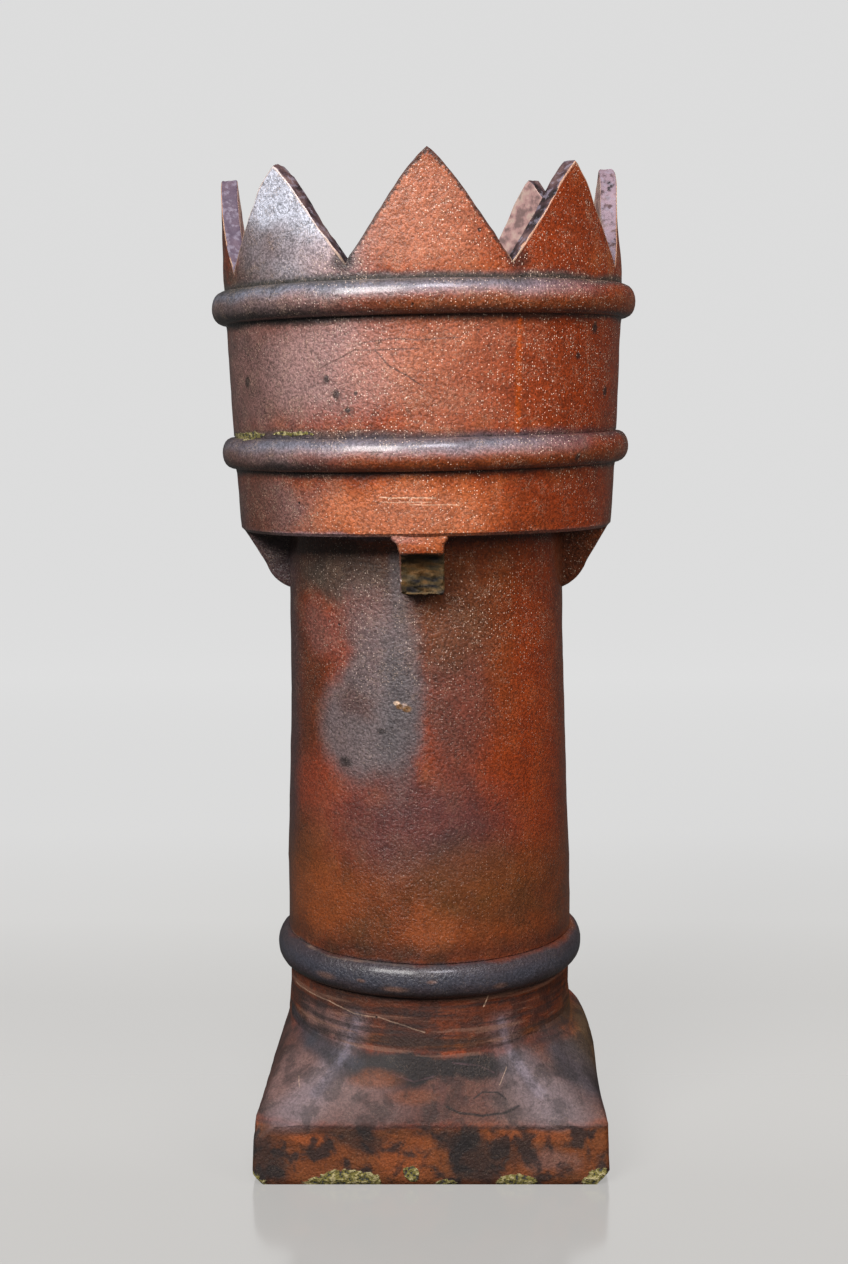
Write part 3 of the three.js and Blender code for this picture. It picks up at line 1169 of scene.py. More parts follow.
class SaltGlaze:
    """The outside: mottled orange to plum clay under a pitted, orange-peel salt glaze, with its stains, and
    with sheen, glints and shade painted into its colour.

    A wander says how far ragged edges stray: in degrees of turn, not at all, and in metres of height.
    """

    front_shift = 0.005
    fine_mark = 0.010
    loose_wander = (16.0, 0.0, 0.040)
    near_wander = (8.0, 0.0, 0.012)
    tight_wander = (1.6, 0.0, 0.0036)
    lichen_wander = (7.0, 0.0, 0.016)

    def __init__(self, palette: Palette, marks: Sequence[ColourPatch | Streak | Band], lichen: Sequence[ColourPatch],
                 tilt: float, tilted_heights: tuple[float, float]) -> None:
        """Keeps the colours and the places of the marks.

        Args:
            palette: The colours.
            marks: The colour patches, streaks and bands, in the order in which they are laid.
            lichen: The crusts of lichen.
            tilt: How far the collar is tilted.
            tilted_heights: Heights where the tilt sets in and where it is there in full.
        """
        self.palette = palette
        self.marks = marks
        self.lichen = lichen
        self.tilt = tilt
        self.tilted_heights = tilted_heights

    def unrolled(self, recipe: Recipe) -> tuple[Signal, Signal, Signal]:
        """Turn in degrees and height above the foot, following the tilted collar.

        Args:
            recipe: The material in the making.

        Returns:
            The turn, the height, and a small wander for ragged edges, as a vector of turn and height.
        """
        parts = recipe.add("ShaderNodeSeparateXYZ", {}, {0: recipe.place})
        x, y, z = (Signal(recipe, parts.outputs[i]) for i in range(3))
        turn = (x + self.front_shift).turn_towards(0.0 - y) * (180.0 / math.pi)
        height = z - x * z.between(*self.tilted_heights) * math.tan(self.tilt)
        cloud = recipe.add("ShaderNodeTexNoise", {}, {"Vector": recipe.place, "Scale": 24.0, "Detail": 6.0,
                                                      "Roughness": 0.62})
        wander = recipe.vector("SUBTRACT", Signal(recipe, cloud.outputs["Color"]), (0.5, 0.5, 0.5))
        return turn, height, wander

    def patch(self, recipe: Recipe, where: Signal, colour_patch: ColourPatch) -> Signal:
        """How strongly one colour patch covers each place.

        Args:
            recipe: The material in the making.
            where: Turn and height of each place.
            colour_patch: The patch.

        Returns:
            Its share, from 0 to 1.
        """
        off = recipe.vector("SUBTRACT", where, (colour_patch.turn, 0.0, colour_patch.height))
        scaled = recipe.vector("MULTIPLY", off, (1.0 / colour_patch.turn_reach, 0.0, 1.0 / colour_patch.height_reach))
        distance = recipe.vector("LENGTH", scaled, out=1)
        return distance.between(1.0 + colour_patch.softness / 2, 1.0 - colour_patch.softness / 2) * colour_patch.strength

    def line(self, recipe: Recipe, where: Signal, streak: Streak) -> Signal:
        """How strongly one streak covers each place.

        Args:
            recipe: The material in the making.
            where: Turn and height of each place.
            streak: The streak.

        Returns:
            Its share, from 0 to 1.
        """
        to_metres = streak.radius * math.pi / 180.0
        nearest = None
        for start, end in zip(streak.route, streak.route[1:]):
            run_x, run_z = (end[0] - start[0]) * to_metres, end[1] - start[1]
            length = math.hypot(run_x, run_z)
            off = recipe.vector("SUBTRACT", where, (start[0], 0.0, start[1]))
            off = recipe.vector("MULTIPLY", off, (to_metres, 0.0, 1.0))
            along = recipe.vector("DOT_PRODUCT", off, (run_x / length, 0.0, run_z / length), out=1)
            across = recipe.vector("DOT_PRODUCT", off, (-run_z / length, 0.0, run_x / length), out=1)
            beyond = (along - length).most(along * -1.0).most(0.0)
            squared = across * across + beyond * beyond
            nearest = squared if nearest is None else nearest.least(squared)
        return nearest.root().between(streak.half_width, streak.half_width * 0.2) * streak.strength

    def hoop(self, turn: Signal, height: Signal, band: Band) -> Signal:
        """How strongly one band covers each place.

        Args:
            turn: Turn of each place.
            height: Height of each place.
            band: The band.

        Returns:
            Its share, from 0 to 1.
        """
        share = height.between(band.foot - band.fade, band.foot + band.fade)
        share = share * height.between(band.top + band.fade, band.top - band.fade)
        if band.turns[0] > -180.0:
            share = share * turn.between(band.turns[0] - band.turn_fade, band.turns[0] + band.turn_fade)
        if band.turns[1] < 180.0:
            share = share * turn.between(band.turns[1] + band.turn_fade, band.turns[1] - band.turn_fade)
        return share * band.strength

    def marked(self, recipe: Recipe, colour: Signal, turn: Signal, height: Signal, wander: Signal) -> Signal:
        """Lays every mark over the clay colour, in order.

        Broad patches have the most ragged edges, bands less, and fine patches and streaks hardly any.

        Args:
            recipe: The material in the making.
            colour: The clay colour.
            turn: Turn of each place.
            height: Height of each place.
            wander: The wander of ragged edges.

        Returns:
            The marked colour.
        """
        flat = Signal(recipe, recipe.add("ShaderNodeCombineXYZ", {}, {0: turn, 1: 0.0, 2: height}).outputs[0])
        loose = recipe.vector("ADD", flat, recipe.vector("MULTIPLY", wander, self.loose_wander))
        tight = recipe.vector("ADD", flat, recipe.vector("MULTIPLY", wander, self.tight_wander))
        near = recipe.vector("ADD", flat, recipe.vector("MULTIPLY", wander, self.near_wander))
        parts = recipe.add("ShaderNodeSeparateXYZ", {}, {0: near})
        near_turn, near_height = Signal(recipe, parts.outputs[0]), Signal(recipe, parts.outputs[2])
        for mark in self.marks:
            if isinstance(mark, ColourPatch):
                share = self.patch(recipe, tight if mark.height_reach < self.fine_mark else loose, mark)
            elif isinstance(mark, Streak):
                share = self.line(recipe, tight, mark)
            else:
                share = self.hoop(near_turn, near_height, mark)
            colour = recipe.mix(colour, mark.colour, share)
        return colour

    def build(self) -> bpy.types.Material:
        """Makes the material.

        Returns:
            The glaze.
        """
        recipe = Recipe("salt_glaze")
        tones = self.palette
        turn, height, wander = self.unrolled(recipe)
        # The fired clay, with every mark laid on it
        broad = recipe.noise(6.0, 5.0)
        fine = recipe.noise(42.0, 5.0)
        fired = [(0.38, tones.brown), (0.49, tones.rust), (0.60, tones.orange)]
        colour = recipe.ramp(broad * 0.6 + fine * 0.4, fired)
        colour = self.marked(recipe, colour, turn, height, wander)
        # Dark blotches, most of them low down
        low = height.between(0.172, 0.160)
        dark_blotches = recipe.noise(48.0, 7.0, twist=0.3).between(0.46, 0.60)
        dark_blotches = dark_blotches * (0.12 + low * 0.42 + height.between(0.062, 0.050) * 0.34)
        colour = recipe.mix(colour, tones.black, dark_blotches)
        # The orange-peel grain of the glaze: the glints and shade on its bumps painted into the colour as
        # lighter and darker grain, stronger higher up, then dark flecks.
        leather = recipe.noise(380.0, 4.0, twist=0.4)
        grain = recipe.noise(700.0, 2.0)
        grained = (leather * 0.6 + grain * 0.4).between(0.37, 0.63) - 0.5
        colour = recipe.vector("MULTIPLY", colour, grained * (height.between(0.26, 0.44) * 0.30 + 0.46) + 1.0)
        colour = recipe.mix(colour, tones.black, recipe.noise(120.0, 5.0).between(0.62, 0.76) * 0.35)
        # Painted highlights as pale curls all over, and dark creases on the left of the collar
        curls = (recipe.noise(190.0, 2.0, twist=1.6) - 0.5).size().between(0.022, 0.006)
        upper = height.between(0.36, 0.60) * 0.72 + 0.18
        patchy = recipe.noise(60.0, 4.0).between(0.46, 0.60) * upper
        colour = recipe.mix(colour, tones.cream, curls * patchy * 0.36)
        creases = (recipe.noise(130.0, 1.5, twist=2.2) - 0.5).size().between(0.050, 0.012)
        side = Signal(recipe, recipe.add("ShaderNodeSeparateXYZ", {}, {0: recipe.place}).outputs[0])
        creases = creases * side.between(-0.02, -0.10) * height.between(0.66, 0.71)
        creases = creases * recipe.noise(30.0, 3.0).between(0.40, 0.54)
        colour = recipe.mix(colour, tones.black, creases * 0.5)
        # Lines that the wheel left on the neck
        thrown = recipe.noise(9.0, 5.0, recipe.vector("MULTIPLY", recipe.place, (1.0, 1.0, 16.0)))
        neck = height.between(0.108, 0.118) * height.between(0.172, 0.162)
        colour = recipe.mix(colour, tones.black, thrown.between(0.50, 0.60) * (neck * 0.55 + 0.05))
        colour = recipe.mix(colour, tones.tan, thrown.between(0.46, 0.38) * neck * 0.45)
        # Painted glints as bright flecks, fewer low down, then dark veins and pits
        jitter = recipe.vector("ADD", recipe.place, recipe.vector("MULTIPLY", wander, (0.004, 0.004, 0.004)))
        dappled = recipe.noise(16.0, 3.0).between(0.30, 0.56) * (1.0 - height.between(0.225, 0.20) * 0.75)
        dappled = dappled * (side.between(-0.14, -0.06) * 0.6 + 0.4)
        glints = recipe.spots(520.0, 0.34, 0.32, jitter).most(recipe.spots(230.0, 0.18, 0.12, jitter))
        glints = glints * dappled * upper
        colour = recipe.mix(colour, tones.glint, glints)
        veins = (recipe.noise(55.0, 4.0, twist=1.0) - 0.5).size().between(0.009, 0.002)
        colour = recipe.mix(colour, tones.black, veins * recipe.noise(9.0, 3.0).between(0.50, 0.64) * 0.45)
        pits = recipe.spots(60.0, 0.10, 0.06, jitter)
        colour = recipe.mix(colour, tones.black, pits * 0.85)
        # The burnt burr along the edge of the front tooth
        rim = Signal(recipe, recipe.add("ShaderNodeAttribute", {"attribute_name": RIM}, {}).outputs["Fac"])
        front = turn.size().between(24.0, 20.0)
        burr = (rim + (leather - 0.5) * 0.006).between(0.0030, 0.0010) * (0.10 + front * 0.65)
        colour = recipe.mix(colour, tones.black, burr)
        # Crusts of lichen
        flat = Signal(recipe, recipe.add("ShaderNodeCombineXYZ", {}, {0: turn, 1: 0.0, 2: height}).outputs[0])
        ragged = recipe.vector("ADD", flat, recipe.vector("MULTIPLY", wander, self.lichen_wander))
        moss = self.patch(recipe, ragged, self.lichen[0])
        for colour_patch in self.lichen[1:]:
            moss = moss.most(self.patch(recipe, ragged, colour_patch))
        crumbs = recipe.noise(240.0, 5.0)
        moss = (moss + (crumbs - 0.5) * 2.2 * moss).between(0.40, 0.70)
        moss_colour = recipe.mix(tones.lichen, tones.lichen_pale, crumbs.between(0.50, 0.62))
        moss_colour = recipe.mix(moss_colour, tones.grime_and_shade, crumbs.between(0.46, 0.40))
        colour = recipe.mix(colour, moss_colour, moss)
        # The pale arris of the other teeth, then gloss and relief
        arris = rim.between(0.0011, 0.0004) * (1.0 - front) * 0.4
        colour = recipe.mix(colour, tones.cream, arris)
        roughness = (0.22 + fine * 0.26 + leather * 0.10 + low * 0.34).most(moss * 0.9)
        normal = recipe.relief(recipe.noise(130.0, 3.0, twist=0.3), 0.0012, 0.5)
        normal = recipe.relief(leather, 0.0014, 0.85, normal)
        normal = recipe.relief(pits * -1.0, 0.0011, 0.7, normal)
        normal = recipe.relief(crumbs * moss, 0.0045, 0.9, normal)
        gloss = 0.65 - low * 0.35 - height.between(0.225, 0.205) * 0.28
        recipe.tree.links.new(gloss.socket, recipe.shader.inputs["Coat Weight"])
        return recipe.dress(colour, roughness, normal, IOR=1.47, Coat_Roughness=0.18)


class CutClay:
    """The sloping edges of the teeth, cut in the wet clay and glazed thinly."""

    def __init__(self, palette: Palette) -> None:
        """Keeps the colours."""
        self.palette = palette

    def build(self) -> bpy.types.Material:
        """Makes the material.

        Returns:
            The cut edge.
        """
        recipe = Recipe("cut_edge")
        tones = self.palette
        cloud = recipe.noise(60.0, 5.0)
        colour = recipe.ramp(cloud, [(0.36, tones.black), (0.50, tones.wine), (0.68, tones.dusk)])
        side = Signal(recipe, recipe.add("ShaderNodeSeparateXYZ", {}, {0: recipe.place}).outputs[0])
        patchy = recipe.noise(170.0, 5.0).between(0.34, 0.54)
        colour = recipe.mix(colour, tones.mauve, side.between(0.13, 0.165) * patchy * 0.8)
        colour = recipe.mix(colour, tones.violet, side.between(-0.150, -0.170) * 0.7)
        colour = recipe.mix(colour, tones.lavender, recipe.noise(190.0, 4.0).between(0.50, 0.64) * 0.5)
        normal = recipe.relief(recipe.noise(190.0, 4.0), 0.0012, 0.6)
        return recipe.dress(colour, 0.36 + cloud * 0.2, normal)


class BrokenClay:
    """The rough body of the clay where the front web broke."""

    def __init__(self, palette: Palette) -> None:
        """Keeps the colours."""
        self.palette = palette

    def build(self) -> bpy.types.Material:
        """Makes the material.

        Returns:
            The broken clay.
        """
        recipe = Recipe("broken_clay")
        tones = self.palette
        cloud = recipe.noise(110.0, 6.0, recipe.vector("MULTIPLY", recipe.place, (0.5, 1.0, 1.6)))
        colour = recipe.ramp(cloud, [(0.34, tones.black), (0.48, tones.olive), (0.66, tones.ochre)])
        height = Signal(recipe, recipe.add("ShaderNodeSeparateXYZ", {}, {0: recipe.place}).outputs[2])
        # Painted shade at the top of the break, under the collar.
        colour = recipe.mix(colour, tones.black, height.between(0.560, 0.578) * 0.6)
        normal = recipe.relief(recipe.noise(260.0, 6.0), 0.002, 0.9)
        return recipe.dress(colour, 0.85, normal)


class SootedClay:
    """The inside: dusty pinkish clay in the crown that darkens to soot down the flue."""

    def __init__(self, palette: Palette, crown_foot: float) -> None:
        """Keeps the colours and the height where the soot thins out."""
        self.palette = palette
        self.crown_foot = crown_foot

    def build(self) -> bpy.types.Material:
        """Makes the material.

        Returns:
            The sooted clay.
        """
        recipe = Recipe("sooted_clay")
        tones = self.palette
        parts = recipe.add("ShaderNodeSeparateXYZ", {}, {0: recipe.place})
        height = Signal(recipe, parts.outputs[2]) + (recipe.noise(12.0, 4.0) - 0.5) * 0.09
        dust = [(0.38, tones.dusk), (0.48, tones.pink), (0.60, tones.shell)]
        dappled = recipe.ramp(recipe.noise(90.0, 6.0), dust)
        clay = recipe.mix(tones.soot, dappled, height.between(self.crown_foot - 0.10, self.crown_foot + 0.05))
        colour = recipe.mix(clay, tones.soot, recipe.noise(90.0, 4.0).between(0.56, 0.72) * 0.5)
        normal = recipe.relief(recipe.noise(150.0, 4.0), 0.0014, 0.5)
        return recipe.dress(colour, 0.8, normal)


def collar_marks(tones: Palette) -> list[ColourPatch | Streak | Band]:
    """The marks on the crown and the collar, the front in full and plainer ones behind: stains, with painted
    sheen, highlights, reflections and shade.

    Args:
        tones: The colours.

    Returns:
        The marks, in the order in which they are laid.
    """
    beads = ((0.661, 0.016), (0.794, 0.017))
    degrees_a_metre = 280
    marks: list[ColourPatch | Streak | Band] = [
        # Painted bluish-white sheen over the upper left tooth: the sky's reflection.
        ColourPatch(-38, 0.878, 22, 0.066, tones.sky_sheen, 0.92),
        # Painted pinkish highlight low on the right of the left tooth.
        ColourPatch(-30, 0.832, 10, 0.016, tones.pink, 0.5),
        ColourPatch(-54, 0.838, 12, 0.024, tones.slate, 0.8),
        ColourPatch(-42, 0.845, 8, 0.016, tones.dusk, 0.5),
        ColourPatch(0, 0.865, 21, 0.050, tones.orange, 0.8),
        # Painted salmon sheen on the front tooth.
        ColourPatch(2, 0.862, 19, 0.046, tones.salmon, 0.7),
        ColourPatch(36, 0.860, 22, 0.060, tones.rust, 0.9),
        # Painted shade darkening the left side of the collar.
        ColourPatch(-62, 0.730, 32, 0.060, tones.dusk, 0.85),
        # Painted sheen across the collar: pink left of the front, salmon right of it.
        ColourPatch(-28, 0.742, 20, 0.046, tones.pink, 0.75),
        ColourPatch(10, 0.735, 26, 0.050, tones.salmon, 0.65),
        ColourPatch(48, 0.730, 34, 0.060, tones.rust, 0.85),
        # Painted shade darkening the left side of the lower collar.
        ColourPatch(-58, 0.615, 28, 0.030, tones.dusk, 0.8),
        # Painted salmon sheen on the lower collar, left of the front.
        ColourPatch(-28, 0.615, 8, 0.028, tones.salmon, 0.6),
        ColourPatch(-4, 0.612, 26, 0.028, tones.bright, 0.95),
        # Painted salmon sheen on the front of the lower collar.
        ColourPatch(-4, 0.612, 18, 0.018, tones.salmon, 0.5),
        ColourPatch(48, 0.610, 28, 0.034, tones.rust, 0.7),
        ColourPatch(130, 0.730, 32, 0.060, tones.plum, 0.6),
        ColourPatch(-120, 0.700, 30, 0.050, tones.orange, 0.6),
    ]
    for middle, half in beads:
        marks += [
            Band(middle - half * 0.8, middle + half * 0.2, tones.chestnut, 0.55, (-20, 150), 0.006, 20),
            # Slate over the left of each bead: the glaze's colour, with the sky's bluish reflection painted
            # in.
            Band(middle - half * 0.9, middle + half * 0.9, tones.slate, 0.85, (-150, -30), 0.006, 16),
            # Painted highlight along the middle of each bead.
            Band(middle + half * 0.1, middle + half * 0.6, tones.pink, 0.65, (-40, 40), 0.006, 16),
            # Painted bluish reflection of the sky along each bead's top.
            Band(middle + half * 0.35, middle + half * 1.15, tones.steel, 0.8, (-150, 40), 0.006, 24),
            # Painted shade along each bead's top edge.
            Band(middle + half * 0.75, middle + half * 1.2, tones.ink, 0.75, fade=0.005),
            # Painted shade on the underside of each bead: its lower half on the left, its lowest part all
            # round.
            Band(middle - half * 1.0, middle - half * 0.30, tones.black, 0.8, (-150, -18), 0.005, 20),
            Band(middle - half * 1.0, middle - half * 0.66, tones.black, 0.9, fade=0.004),
        ]
    marks += [
        # Dark lines in the crevice along the top of the upper bead, wider on the left.
        Band(0.809, 0.815, tones.grime_and_shade, 0.75, fade=0.004),
        Band(0.812, 0.826, tones.grime_and_shade, 0.45, (-150, -28), 0.008, 14),
        ColourPatch(-22, 0.826, 3.5, 0.009, tones.black, 0.8),
        ColourPatch(25, 0.826, 3.5, 0.009, tones.black, 0.7),
        # A dark line in the crevice along the top of the lower bead.
        Band(0.679, 0.684, tones.grime_and_shade, 0.75, (-140, 5), 0.005, 30),
        Band(0.586, 0.594, tones.lavender, 0.55, (-150, -8), 0.002),
        Band(0.586, 0.594, tones.dusk, 0.6, (14, 150), 0.002),
        Streak(((26.2, 0.682), (25.8, 0.775)), 0.0045, tones.ember, 0.9, 0.183),
        Streak(((-12.9, 0.6265), (2.7, 0.6255)), 0.0008, tones.cream, 0.7, 0.177),
        Streak(((-12.5, 0.6225), (1.5, 0.6220)), 0.0007, tones.cream, 0.5, 0.177),
        Streak(((-4.0, 0.6200), (9.4, 0.6190)), 0.0007, tones.cream, 0.5, 0.177),
        Streak(((-73, 0.697), (-69, 0.672)), 0.0018, tones.black, 0.8, 0.18),
    ]
    for turn, height, size in ((-61.0, 0.727, 0.0055), (-27.8, 0.728, 0.0035), (-25.0, 0.715, 0.0042),
                               (-19.1, 0.716, 0.0020), (-21.5, 0.701, 0.0028), (54.8, 0.769, 0.0048),
                               (47.1, 0.745, 0.0030), (62.8, 0.713, 0.0050), (44.2, 0.657, 0.0035),
                               (14, 0.850, 0.0020)):
        marks.append(ColourPatch(turn, height, size * degrees_a_metre, size, tones.black, 0.85, 1.0))
    crooked = ((-29.6, 0.738), (-23.9, 0.745), (-19.2, 0.752), (-13.3, 0.752), (-2, 0.752))
    level = ((-16.9, 0.758), (-9, 0.761), (-0.7, 0.759), (9, 0.761))
    falling = ((-13.3, 0.751), (-9.8, 0.738), (-5, 0.730), (-0.7, 0.721))
    for crack, colour in ((crooked, tones.plum), (level, tones.plum), (falling, tones.black)):
        marks.append(Streak(crack, 0.0011, colour, 0.6, 0.183))
    return marks


def shaft_marks(tones: Palette) -> list[ColourPatch | Streak | Band]:
    """The marks on the shaft and its foot bead: stains, with painted shade under the collar's lip and towards
    the shaft's sides.

    Args:
        tones: The colours.

    Returns:
        The marks, in the order in which they are laid.
    """
    return [
        ColourPatch(-90, 0.560, 26, 0.045, tones.slate, 0.9),
        ColourPatch(90, 0.560, 26, 0.045, tones.chestnut, 0.8),
        ColourPatch(48, 0.440, 34, 0.160, tones.rust, 0.75),
        ColourPatch(30, 0.500, 9, 0.090, tones.umber, 0.4, 1.6),
        # Painted shade darkening the shaft towards its right side.
        ColourPatch(78, 0.430, 14, 0.220, tones.brown, 0.6),
        # Painted shade darkening the shaft towards its left side.
        ColourPatch(-60, 0.440, 18, 0.200, tones.brown, 0.6),
        ColourPatch(10, 0.520, 22, 0.050, tones.brown, 0.5),
        # Painted shade darkening the shaft's left side.
        ColourPatch(-66, 0.440, 18, 0.200, tones.brown, 0.75),
        ColourPatch(-46, 0.507, 16, 0.032, tones.red, 0.40),
        ColourPatch(-48, 0.500, 12, 0.025, tones.dusk, 0.4),
        ColourPatch(-50, 0.353, 20, 0.030, tones.red, 0.5),
        # Painted shade on the shaft under the collar's lip.
        ColourPatch(-34, 0.556, 28, 0.026, tones.grime_and_shade, 0.8),
        ColourPatch(-24, 0.520, 12, 0.030, tones.dusk, 0.6),
        # Painted shade darkening the shaft at its far left.
        ColourPatch(-80, 0.430, 14, 0.240, tones.wine, 0.8),
        ColourPatch(-29, 0.414, 19, 0.050, tones.slate, 0.95, 0.7),
        ColourPatch(-19, 0.448, 16, 0.070, tones.slate, 0.85, 0.8),
        ColourPatch(-10, 0.470, 8, 0.090, tones.slate, 0.75),
        ColourPatch(-10, 0.420, 8, 0.075, tones.lead, 0.6),
        Streak(((-12.5, 0.570), (-9, 0.490)), 0.010, tones.slate, 0.8),
        ColourPatch(-30, 0.438, 8, 0.016, tones.plum, 0.7),
        ColourPatch(12, 0.450, 14, 0.090, tones.plum, 0.6),
        ColourPatch(10, 0.520, 16, 0.050, tones.umber, 0.5),
        Band(0.198, 0.300, tones.umber, 0.55, fade=0.03),
        ColourPatch(-4, 0.325, 38, 0.045, tones.wine, 0.7),
        ColourPatch(-11.5, 0.439, 1.3, 0.0020, tones.cream, 0.9, 0.8),
        ColourPatch(-8.5, 0.437, 1.2, 0.0024, tones.shell, 0.8, 0.8),
        ColourPatch(-7.5, 0.434, 1.8, 0.0030, tones.ochre, 0.9, 0.6),
        ColourPatch(-10.5, 0.436, 1.4, 0.0024, tones.ochre, 0.9, 0.6),
        ColourPatch(-34, 0.381, 3.0, 0.0050, tones.black, 0.8),
        ColourPatch(-17.7, 0.413, 1.6, 0.0030, tones.black, 0.7),
        Streak(((-76, 0.201), (-42, 0.1975), (-23.6, 0.1985), (-4, 0.198)), 0.0008, tones.cream, 0.55, 0.145),
        ColourPatch(20, 0.275, 26, 0.036, tones.umber, 0.5),
        ColourPatch(2, 0.232, 8, 0.022, tones.orange, 0.5),
        ColourPatch(-50, 0.248, 24, 0.030, tones.orange, 0.4),
        Band(0.200, 0.215, tones.black, 0.5, fade=0.010),
        Band(0.166, 0.200, tones.ink, 0.95, fade=0.003),
        Band(0.180, 0.192, tones.storm, 0.6, fade=0.005),
        ColourPatch(-40, 0.181, 4, 0.0030, tones.tan, 0.45, 1.4),
        ColourPatch(-11, 0.178, 4, 0.0025, tones.tan, 0.55, 1.4),
        ColourPatch(-24, 0.183, 1.5, 0.0016, tones.tan, 0.5, 1.4),
        ColourPatch(2, 0.186, 1.5, 0.0016, tones.tan, 0.5, 1.4),
        ColourPatch(27, 0.178, 2.5, 0.0025, tones.tan, 0.45, 1.4),
        Band(0.163, 0.174, tones.black, 0.9, fade=0.004),
        ColourPatch(126, 0.450, 30, 0.110, tones.slate, 0.6),
        ColourPatch(-122, 0.360, 32, 0.090, tones.plum, 0.7),
        ColourPatch(110, 0.320, 24, 0.060, tones.orange, 0.6),
    ]


def foot_marks(tones: Palette) -> list[ColourPatch | Streak | Band]:
    """The marks on the neck, the broach and the plinth: stains, with painted highlights along the broach's
    ridges.

    Args:
        tones: The colours.

    Returns:
        The marks, in the order in which they are laid.
    """
    return [
        Band(0.117, 0.165, tones.brown, 0.8, fade=0.006),
        Band(0.120, 0.129, tones.umber, 0.6, fade=0.003),
        Band(0.146, 0.150, tones.black, 0.35, fade=0.003),
        Band(0.056, 0.112, tones.mud, 0.85, fade=0.006),
        ColourPatch(-46, 0.132, 14, 0.016, tones.dusk, 0.7),
        ColourPatch(-40, 0.090, 16, 0.024, tones.dusk, 0.6),
        ColourPatch(-25, 0.075, 18, 0.018, tones.dusk, 0.5),
        ColourPatch(34, 0.080, 12, 0.028, tones.slate, 0.6),
        ColourPatch(54, 0.090, 10, 0.030, tones.ink, 0.85),
        ColourPatch(2, 0.103, 36, 0.012, tones.black, 0.97, 0.7),
        ColourPatch(80, 0.095, 20, 0.040, tones.olive, 0.7),
        Band(-0.01, 0.054, tones.umber, 0.75, fade=0.003),
        ColourPatch(-8, 0.028, 10, 0.018, tones.orange, 0.45),
        ColourPatch(-33, 0.044, 4, 0.006, tones.orange, 0.6),
        ColourPatch(-30, 0.022, 8, 0.012, tones.chestnut, 0.5),
        ColourPatch(30, 0.047, 12, 0.005, tones.orange, 0.5),
        ColourPatch(34, 0.026, 5, 0.012, tones.dusk, 0.5),
        ColourPatch(12, 0.040, 7, 0.012, tones.black, 0.9),
        ColourPatch(16, 0.018, 7, 0.020, tones.black, 0.85),
        ColourPatch(-20, 0.044, 7, 0.010, tones.black, 0.7),
        ColourPatch(-42, 0.025, 5, 0.020, tones.black, 0.8),
        ColourPatch(24, 0.030, 4, 0.012, tones.black, 0.6),
        Streak(((7, 0.072), (11, 0.067), (18, 0.064), (25, 0.066), (29, 0.071)),
               0.0016, tones.black, 0.85, 0.15),
        Streak(((16, 0.078), (19, 0.083), (24, 0.082), (26, 0.077)), 0.0011, tones.black, 0.8, 0.15),
        Streak(((25, 0.088), (29, 0.101)), 0.0005, tones.cream, 0.4, 0.15),
        Streak(((-44, 0.088), (-41, 0.081)), 0.0005, tones.cream, 0.3, 0.16),
        Streak(((10, 0.108), (20, 0.104), (24, 0.098)), 0.0012, tones.wine, 0.8, 0.145),
        Streak(((-12, 0.098), (-4, 0.093), (3, 0.097)), 0.0012, tones.wine, 0.8, 0.145),
        ColourPatch(-18, 0.094, 9, 0.007, tones.chestnut, 0.6),
        ColourPatch(-4, 0.080, 8, 0.006, tones.chestnut, 0.45),
        Band(0.0535, 0.0565, tones.black, 0.6, fade=0.002),
        Band(0.048, 0.054, tones.black, 0.6, (-40, -18), 0.004, 5),
        Band(0.046, 0.054, tones.black, 0.5, (-6, 12), 0.004, 5),
        # Painted highlight along the broach's front-left ridge.
        Streak(((-29, 0.136), (-38, 0.066)), 0.022, tones.ridge_highlight, 0.55),
        Streak(((-74, 0.122), (-50, 0.113)), 0.012, tones.ink, 0.9, 0.14),
        Streak(((-50, 0.113), (-26, 0.104)), 0.012, tones.ink, 0.9, 0.14),
        Streak(((28, 0.108), (58, 0.117)), 0.006, tones.black, 0.6, 0.14),
        # Painted highlights along the broach's ridges, left and right.
        Streak(((-28, 0.144), (-35, 0.080)), 0.007, tones.lavender, 0.3),
        Streak(((31, 0.132), (37, 0.070)), 0.024, tones.ridge_highlight, 0.40),
        Streak(((30, 0.140), (36, 0.080)), 0.007, tones.lavender, 0.3),
        Streak(((24.4, 0.166), (22.8, 0.157)), 0.0009, tones.cream, 0.7),
        Streak(((-71, 0.153), (-42, 0.152), (-30, 0.146), (-18.6, 0.146), (-9, 0.141), (-0.4, 0.135)),
               0.0009, tones.cream, 0.5, 0.137),
    ]


def lichen_spots(tones: Palette) -> list[ColourPatch]:
    """The crusts of lichen on the foot and on the lower collar bead.

    Args:
        tones: The colours.

    Returns:
        The crusts.
    """
    green = tones.lichen
    return [
        ColourPatch(-24, 0.000, 10, 0.016, green, 1.0, 0.5),
        ColourPatch(-4.5, 0.012, 2.6, 0.0075, green, 1.0, 0.4),
        ColourPatch(7, 0.000, 4, 0.006, green, 0.9, 0.5),
        ColourPatch(27, 0.002, 6, 0.009, green, 1.0, 0.5),
        ColourPatch(44, 0.005, 3, 0.012, green, 1.0, 0.5),
        ColourPatch(-45, 0.003, 3, 0.010, green, 0.9, 0.5),
        ColourPatch(-66, 0.680, 14, 0.003, green, 1.0, 0.5),
        ColourPatch(-40, 0.680, 8, 0.002, green, 0.8, 0.5),
        ColourPatch(150, 0.006, 20, 0.016, green, 1.0, 0.5),
        ColourPatch(-120, 0.680, 20, 0.004, green, 0.9, 0.5),
    ]


# The studio


